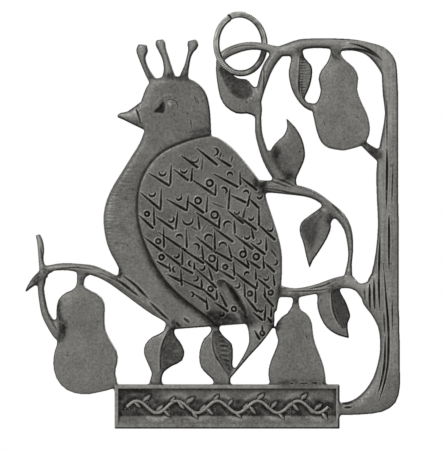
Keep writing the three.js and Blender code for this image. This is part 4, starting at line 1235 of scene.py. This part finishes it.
def vine_leaf():
    """A small pointed leaf, raised along its middle, that lies on the panel with its stalk at the origin."""
    length, half, thick = 2.4 * MM, 0.7 * MM, 0.5 * MM
    # how far along the leaf each row of corners is, and how wide the leaf is there
    stations = [(0.0, 0.0), (0.18, 0.55), (0.42, 1.0), (0.7, 0.75), (1.0, 0.0)]
    corners, rows = [], []
    for share, wide in stations:
        x = share * length
        rise = thick * (0.5 + 0.5 * math.sin(math.pi * share))
        row = [(x, 0, -half * wide), (x, -rise, 0), (x, 0, half * wide)] if wide else [(x, -0.3 * thick, 0)]
        rows.append([len(corners) + i for i in range(len(row))])
        corners += row
    faces = [(rows[0][0], rows[1][0], rows[1][1]), (rows[0][0], rows[1][1], rows[1][2]),
             (rows[-1][0], rows[-2][1], rows[-2][0]), (rows[-1][0], rows[-2][2], rows[-2][1])]
    for one, other in zip(rows[1:-2], rows[2:-1]):
        for i in (0, 1):
            faces.append((one[i], other[i], other[i + 1], one[i + 1]))
        faces.append((one[2], other[2], other[0], one[0]))
    faces += [(rows[0][0], rows[1][2], rows[1][0]), (rows[-1][0], rows[-2][0], rows[-2][2])]
    mesh = bpy.data.meshes.new("vine_leaf")
    mesh.from_pydata(corners, [], faces)
    return place("vine_leaf", mesh)


def vine_tree(material):
    """A running vine: a half-round stem along a line, with leaves that leave it on alternate sides."""
    tree, given = geometry_tree("running_vine", {
        "Stem Radius": "Float", "Leaf": "Object", "Leaf Spacing": "Float", "Curl Radius": "Float",
        "Curl Spacing": "Float", "Seed": "Int", "Middle": "Float", "Leafy Reach": "Float"})
    line = add(tree, "GeometryNodeMeshToCurve", given["Geometry"])
    section = add(tree, "GeometryNodeCurvePrimitiveCircle",
                  {"Resolution": 10, "Radius": given["Stem Radius"]})
    stem = add(tree, "GeometryNodeCurveToMesh", {"Curve": line, "Profile Curve": section, "Fill Caps": True})

    spots = add(tree, "GeometryNodeCurveToPoints", {"Curve": line, "Length": given["Leaf Spacing"]},
                mode="LENGTH")
    odd = add(tree, "ShaderNodeMath", add(tree, "GeometryNodeInputIndex"), 2.0, operation="MODULO")
    side = add(tree, "ShaderNodeMapRange", odd, 0.0, 1.0, -0.85, 0.85)
    off, size = [add(tree, "FunctionNodeRandomValue", {2: least, 3: most, "Seed": given["Seed"]}).outputs[1]
                 for least, most in ((-0.2, 0.2), (0.8, 1.1))]
    turn = add(tree, "ShaderNodeCombineXYZ", {"Y": add(tree, "ShaderNodeMath", side, off, operation="ADD")})
    leaf = add(tree, "GeometryNodeObjectInfo", {"Object": given["Leaf"]}).outputs["Geometry"]
    # no leaf sits at either end of the stem
    spot = add(tree, "ShaderNodeSeparateXYZ", add(tree, "GeometryNodeInputPosition")).outputs
    sideways = add(tree, "ShaderNodeMath", spot["X"], given["Middle"], operation="SUBTRACT")
    from_middle = add(tree, "ShaderNodeMath", sideways, operation="ABSOLUTE")
    off_ends = add(tree, "ShaderNodeMath", from_middle, given["Leafy Reach"], operation="LESS_THAN")
    leaves = add(tree, "GeometryNodeInstanceOnPoints",
                 {"Points": spots, "Instance": leaf, "Selection": off_ends, "Rotation": turn, "Scale": size})

    # tendrils curl up where the stem bends
    first = add(tree, "ShaderNodeMath", given["Curl Radius"], 0.3, operation="MULTIPLY")
    spiral = add(tree, "GeometryNodeCurveSpiral", {"Resolution": 14, "Rotations": 1.25, "Height": 0.0,
                                                   "Start Radius": first, "End Radius": given["Curl Radius"]})
    aside = add(tree, "ShaderNodeMath", given["Curl Radius"], -1.0, operation="MULTIPLY")
    to_end = add(tree, "ShaderNodeCombineXYZ", {"Y": aside})
    moved = add(tree, "GeometryNodeTransform", {"Geometry": spiral, "Translation": to_end})
    upright = add(tree, "GeometryNodeTransform", {"Geometry": moved, "Rotation": (math.pi / 2, 0, 0)})
    thin = add(tree, "ShaderNodeMath", given["Stem Radius"], 0.55, operation="MULTIPLY")
    fine = add(tree, "GeometryNodeCurvePrimitiveCircle", {"Resolution": 8, "Radius": thin})
    curl = add(tree, "GeometryNodeCurveToMesh", {"Curve": upright, "Profile Curve": fine, "Fill Caps": True})
    bends = add(tree, "GeometryNodeCurveToPoints", {"Curve": line, "Length": given["Curl Spacing"]},
                mode="LENGTH")
    over = add(tree, "ShaderNodeMapRange", odd, 0.0, 1.0, 0.0, math.pi)
    flip = add(tree, "ShaderNodeCombineXYZ", {"Y": over})
    curls = add(tree, "GeometryNodeInstanceOnPoints", {"Points": bends, "Instance": curl, "Rotation": flip})
    whole = add(tree, "GeometryNodeJoinGeometry")
    for one in (stem, leaves, curls):
        tree.links.new(one.outputs[0], whole.inputs[0])

    # what stands proud was rubbed bright, and patina stays low on the sides
    there = add(tree, "ShaderNodeSeparateXYZ", add(tree, "GeometryNodeInputPosition")).outputs
    proud = add(tree, "ShaderNodeMath", there["Y"], given["Stem Radius"], operation="DIVIDE")
    patina = add(tree, "ShaderNodeMapRange", proud, -0.9, -0.2, -0.4, 0.9)
    lightened = add(tree, "GeometryNodeStoreNamedAttribute",
                 {"Geometry": whole, "Name": "patina", "Value": patina}, data_type="FLOAT", domain="POINT")
    return end_tree(tree, add(tree, "GeometryNodeSetShadeSmooth", lightened), material)


def make_vine():
    """The vine that runs along the name bar's panel."""
    panel = 1.95   # how far the panel lies in front of the back
    vine = lines_object("name_panel_vine", [vine_line()])
    leaf = vine_leaf()
    set_tree(vine, vine_tree(PEWTER), {
        "Stem Radius": 0.34 * MM, "Leaf": leaf, "Leaf Spacing": 1.55 * MM, "Curl Radius": 0.62 * MM,
        "Curl Spacing": 4.4 * MM, "Seed": 4, "Middle": at(227.5, 0)[0] * MM, "Leafy Reach": 17.9 * MM})
    made_plain(vine)
    bpy.data.objects.remove(leaf)
    vine.data.transform(Matrix.Translation((0, (BACK - panel) * MM, 0)))
    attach(vine, "casting")


# The ring

def ring_tree(material):
    """A jump ring of round wire whose two cut ends nearly meet and stand a little apart, with the ridges that
    the pliers left on it, painted shade on its inner side and on its outer side where it faces down, and
    tarnish in the cut and between the ridges."""
    tree, given = geometry_tree("jump_ring", {
        "Bore": "Float", "Wire": "Float", "Gap": "Float", "Gap At": "Float", "Offset": "Float",
        "Grip From": "Float", "Grip To": "Float", "Ridge": "Float", "Turn": "Vector", "Middle": "Vector",
        "Turn Slope": "Float"})
    wide = add(tree, "ShaderNodeMath", given["Bore"], given["Wire"], operation="ADD")
    radius = add(tree, "ShaderNodeMath", wide, 0.5, operation="MULTIPLY")
    half = add(tree, "ShaderNodeMath", given["Wire"], 0.5, operation="MULTIPLY")
    gap = add(tree, "ShaderNodeMath", given["Gap"], radius, operation="DIVIDE")
    half_gap = add(tree, "ShaderNodeMath", gap, 0.5, operation="MULTIPLY")
    start = add(tree, "ShaderNodeMath", given["Gap At"], half_gap, operation="ADD")
    sweep = add(tree, "ShaderNodeMath", 2 * math.pi, gap, operation="SUBTRACT")
    arc = add(tree, "GeometryNodeCurveArc", {"Resolution": 640, "Radius": radius, "Start Angle": start,
                                             "Sweep Angle": sweep})
    share = add(tree, "GeometryNodeSplineParameter").outputs["Factor"]
    offset = add(tree, "ShaderNodeMath", given["Offset"], radius, operation="DIVIDE")
    from_middle = add(tree, "ShaderNodeMath", share, 0.5, operation="SUBTRACT")
    apart = add(tree, "ShaderNodeMath", offset, from_middle, operation="MULTIPLY")
    spread = add(tree, "ShaderNodeVectorMath", add(tree, "GeometryNodeInputPosition"), {"Scale": apart},
                 operation="SCALE")
    opened = add(tree, "GeometryNodeSetPosition", {"Geometry": arc, "Offset": spread})
    marked = add(tree, "GeometryNodeStoreNamedAttribute",
                 {"Geometry": opened, "Name": "share", "Value": share}, data_type="FLOAT", domain="POINT")
    section = add(tree, "GeometryNodeCurvePrimitiveCircle", {"Resolution": 28, "Radius": half})
    wire = add(tree, "GeometryNodeCurveToMesh",
               {"Curve": marked, "Profile Curve": section, "Fill Caps": True})

    # the pliers' ridges lie across the wire, over the stretch that they gripped
    along = add(tree, "GeometryNodeInputNamedAttribute", "share", data_type="FLOAT")
    gripped = add(tree, "ShaderNodeMath", given["Grip From"], 0.02, operation="ADD")
    let_go = add(tree, "ShaderNodeMath", given["Grip To"], 0.02, operation="SUBTRACT")
    past_start = add(tree, "ShaderNodeMapRange", along, given["Grip From"], gripped,
                     interpolation_type="SMOOTHSTEP")
    past_end = add(tree, "ShaderNodeMapRange", along, let_go, given["Grip To"],
                   interpolation_type="SMOOTHSTEP")
    before_end = add(tree, "ShaderNodeMath", 1.0, past_end, operation="SUBTRACT")
    grip = add(tree, "ShaderNodeMath", past_start, before_end, operation="MULTIPLY")
    # 100 ridges would go round, 0.34 mm apart
    turns = add(tree, "ShaderNodeMath", along, 2 * math.pi * 100, operation="MULTIPLY")
    wave = add(tree, "ShaderNodeMath", turns, operation="SINE")
    ridges = add(tree, "ShaderNodeMath", wave, grip, operation="MULTIPLY")
    push = add(tree, "ShaderNodeMath", ridges, given["Ridge"], operation="MULTIPLY")
    out = add(tree, "ShaderNodeVectorMath", add(tree, "GeometryNodeInputNormal"), {"Scale": push},
              operation="SCALE")
    ridged = add(tree, "GeometryNodeSetPosition", {"Geometry": wire, "Offset": out})

    # which way each spot on the wire faces, as seen with the ring turned: 1 outward and -1 into its bore
    spot = add(tree, "GeometryNodeInputPosition")
    far = add(tree, "ShaderNodeVectorMath", spot, operation="LENGTH").outputs["Value"]
    axes = add(tree, "ShaderNodeSeparateXYZ", spot).outputs
    rightward = add(tree, "ShaderNodeMath", axes["X"], far, operation="DIVIDE")
    upward = add(tree, "ShaderNodeMath", axes["Y"], far, operation="DIVIDE")
    lean = add(tree, "ShaderNodeMath", rightward, given["Turn Slope"], operation="MULTIPLY")
    off_radius = add(tree, "ShaderNodeMath", far, radius, operation="SUBTRACT")
    aside = add(tree, "ShaderNodeMath", off_radius, half, operation="DIVIDE")
    ahead = add(tree, "ShaderNodeMath", axes["Z"], half, operation="DIVIDE")
    leaning = add(tree, "ShaderNodeMath", ahead, lean, operation="MULTIPLY")
    both = add(tree, "ShaderNodeMath", aside, leaning, operation="ADD")
    squared = add(tree, "ShaderNodeMath", lean, lean, operation="MULTIPLY")
    one_more = add(tree, "ShaderNodeMath", 1.0, squared, operation="ADD")
    length = add(tree, "ShaderNodeMath", one_more, operation="SQRT")
    outside = add(tree, "ShaderNodeMath", both, length, operation="DIVIDE")

    # painted shade inside the bore, and on the outside where the wire faces right and down, away from the
    # light
    inside = add(tree, "ShaderNodeMath", outside, -1.0, operation="MULTIPLY")
    inner = add(tree, "ShaderNodeMapRange", inside, 0.45, 0.66, interpolation_type="SMOOTHSTEP")
    to_right = add(tree, "ShaderNodeMath", rightward, 0.6, operation="MULTIPLY")
    to_top = add(tree, "ShaderNodeMath", upward, 0.8, operation="MULTIPLY")
    downward = add(tree, "ShaderNodeMath", to_right, to_top, operation="SUBTRACT")
    lower = add(tree, "ShaderNodeMapRange", downward, -0.7, 0.9, interpolation_type="SMOOTHSTEP")
    wider = add(tree, "ShaderNodeMath", lower, 0.22, operation="MULTIPLY")
    reach = add(tree, "ShaderNodeMath", outside, wider, operation="ADD")
    edge = add(tree, "ShaderNodeMapRange", reach, 0.74, 0.88, interpolation_type="SMOOTHSTEP")
    outer = add(tree, "ShaderNodeMath", edge, lower, operation="MULTIPLY")
    # a darker line runs round the middle of its front
    off_line = add(tree, "ShaderNodeMath", add(tree, "ShaderNodeMath", outside, 0.1, operation="SUBTRACT"),
                   operation="ABSOLUTE")
    beside = add(tree, "ShaderNodeMapRange", off_line, 0.1, 0.4, interpolation_type="SMOOTHSTEP")
    on_line = add(tree, "ShaderNodeMath", 1.0, beside, operation="SUBTRACT")
    middle = add(tree, "ShaderNodeMath", on_line, 0.14, operation="MULTIPLY")
    # tarnish gathers in the cut and between the ridges
    off_half = add(tree, "ShaderNodeMath", add(tree, "ShaderNodeMath", along, 0.5, operation="SUBTRACT"),
                   operation="ABSOLUTE")
    cut = add(tree, "ShaderNodeMapRange", off_half, 0.4975, 0.4995, interpolation_type="SMOOTHSTEP")
    dips = add(tree, "ShaderNodeMath", ridges, -0.25, operation="MULTIPLY")
    sides = add(tree, "ShaderNodeMath", inner, outer, operation="MAXIMUM")
    lines = add(tree, "ShaderNodeMath", middle, cut, operation="MAXIMUM")
    edges = add(tree, "ShaderNodeMath", sides, lines, operation="MAXIMUM")
    dark = add(tree, "ShaderNodeMath", edges, dips, operation="ADD")
    stained = add(tree, "GeometryNodeStoreNamedAttribute",
                  {"Geometry": ridged, "Name": "tarnish", "Value": dark}, data_type="FLOAT", domain="POINT")
    upright = add(tree, "GeometryNodeTransform", {"Geometry": stained, "Rotation": (math.pi / 2, 0, 0)})
    placed = add(tree, "GeometryNodeTransform", {"Geometry": upright, "Rotation": given["Turn"],
                                                 "Translation": given["Middle"]})
    return end_tree(tree, add(tree, "GeometryNodeSetShadeSmooth", placed), material)


def make_ring():
    """The wire ring, which hangs the casting by its arch."""
    turn = math.radians(RING_TURN)
    ring = place("wire_ring", bpy.data.meshes.new("wire_ring"))
    set_tree(ring, ring_tree(WIRE_METAL), {
        "Bore": BORE * MM, "Wire": WIRE * MM, "Gap": BUTT_GAP * MM, "Gap At": math.radians(BUTT_AT),
        "Offset": BUTT_OFFSET * MM, "Grip From": 0.25, "Grip To": 0.36, "Ridge": 0.045 * MM,
        "Turn Slope": math.tan(turn), "Turn": (0, 0, turn), "Middle": (0, -RING_AHEAD * MM, -BORE / 2 * MM)})
    made_plain(ring)
    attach(ring, "ring")
    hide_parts("jump_ring")


# The room

def seen_white(tree):
    """How far a ray counts as the background's: one where the camera or a glossy surface looks at it."""
    ray = add(tree, "ShaderNodeLightPath").outputs
    looked_at = add(tree, "ShaderNodeMath", ray["Is Camera Ray"], ray["Is Glossy Ray"], operation="ADD")
    return add(tree, "ShaderNodeMath", looked_at, ray["Is Transmission Ray"], operation="ADD", use_clamp=True)


def make_world():
    """A pale room, which looks white and lights the ornament softly."""
    world = bpy.data.worlds.new("pale_room")
    bpy.context.scene.world = world
    world.use_nodes = True
    tree = world.node_tree
    tree.nodes.clear()
    light = add(tree, "ShaderNodeBackground", {"Color": colour("#ffffff"), "Strength": 0.3})
    seen = add(tree, "ShaderNodeBackground", {"Color": colour("#ffffff"), "Strength": 1.0})
    add(tree, "ShaderNodeOutputWorld", add(tree, "ShaderNodeMixShader", seen_white(tree), light, seen))


def make_floor():
    """A plain pale floor, a little below the hanging ornament."""
    half, z = 0.4, cad_box[0][2] - 0.03
    mesh = bpy.data.meshes.new("floor")
    corners = [(-half, -half, z), (half, -half, z), (half, half, z), (-half, half, z)]
    mesh.from_pydata(corners, [], [(0, 1, 2, 3)])
    floor = place("floor", mesh)
    material, tree, surface = start_material("pale_card")
    surface.inputs["Base Color"].default_value = colour("#f2f1ef")
    surface.inputs["Roughness"].default_value = 0.9
    bright = add(tree, "ShaderNodeEmission", {"Color": colour("#ffffff"), "Strength": 1.0})
    # the card's colour shows round the ornament's shadow and fades into the white room further out
    here = add(tree, "ShaderNodeTexCoord").outputs["Object"]
    flat = add(tree, "ShaderNodeVectorMath", here, (1, 1, 0), operation="MULTIPLY")
    away = add(tree, "ShaderNodeVectorMath", flat, operation="LENGTH").outputs["Value"]
    fade = add(tree, "ShaderNodeMapRange", away, 0.08, 0.3, 0.6, 1.0, interpolation_type="SMOOTHSTEP")
    share = add(tree, "ShaderNodeMath", seen_white(tree), fade, operation="MULTIPLY")
    mix = add(tree, "ShaderNodeMixShader", share, surface, bright)
    tree.links.new(mix.outputs[0], tree.nodes["Material Output"].inputs["Surface"])
    mesh.materials.append(material)


def make_lights():
    """A window at the upper left, a fill at the right, and a lamp behind that lights the flat back."""
    middle = Vector((0, 0, -0.038))
    for name, spot, size, power in (("window_light", (-0.45, -0.45, 0.42), 0.3, 3.72),
                                    ("fill_light", (0.5, -0.6, 0.1), 0.5, 0.7),
                                    ("back_light", (0.35, 0.6, 0.3), 0.4, 3.4)):
        light = bpy.data.lights.new(name, "AREA")
        light.shape, light.size, light.energy = "DISK", size, power
        lamp = bpy.data.objects.new(name, light)
        bpy.context.scene.collection.objects.link(lamp)
        lamp.location = spot
        lamp.rotation_euler = (middle - Vector(spot)).to_track_quat("-Z", "Y").to_euler()


def make_camera():
    """A long lens square to the ornament, which frames it as the photograph does."""
    x, z = at(PHOTO_SIZE[0] / 2, PHOTO_SIZE[1] / 2)
    away = 0.7
    lens = bpy.data.cameras.new("camera")
    lens.sensor_fit = "VERTICAL"
    lens.lens = lens.sensor_height * away / (PHOTO_SIZE[1] * PIXEL * MM)
    lens.clip_start, lens.clip_end = 0.01, 20
    camera = bpy.data.objects.new("camera", lens)
    bpy.context.scene.collection.objects.link(camera)
    camera.location = (x * MM, -away, z * MM)
    camera.rotation_euler = (math.pi / 2, 0, 0)
    bpy.context.scene.camera = camera


make_camera()
make_world()
make_floor()
make_lights()
make_casting()
make_vine()
make_ring()
bpy.context.scene.view_settings.view_transform = "Standard"
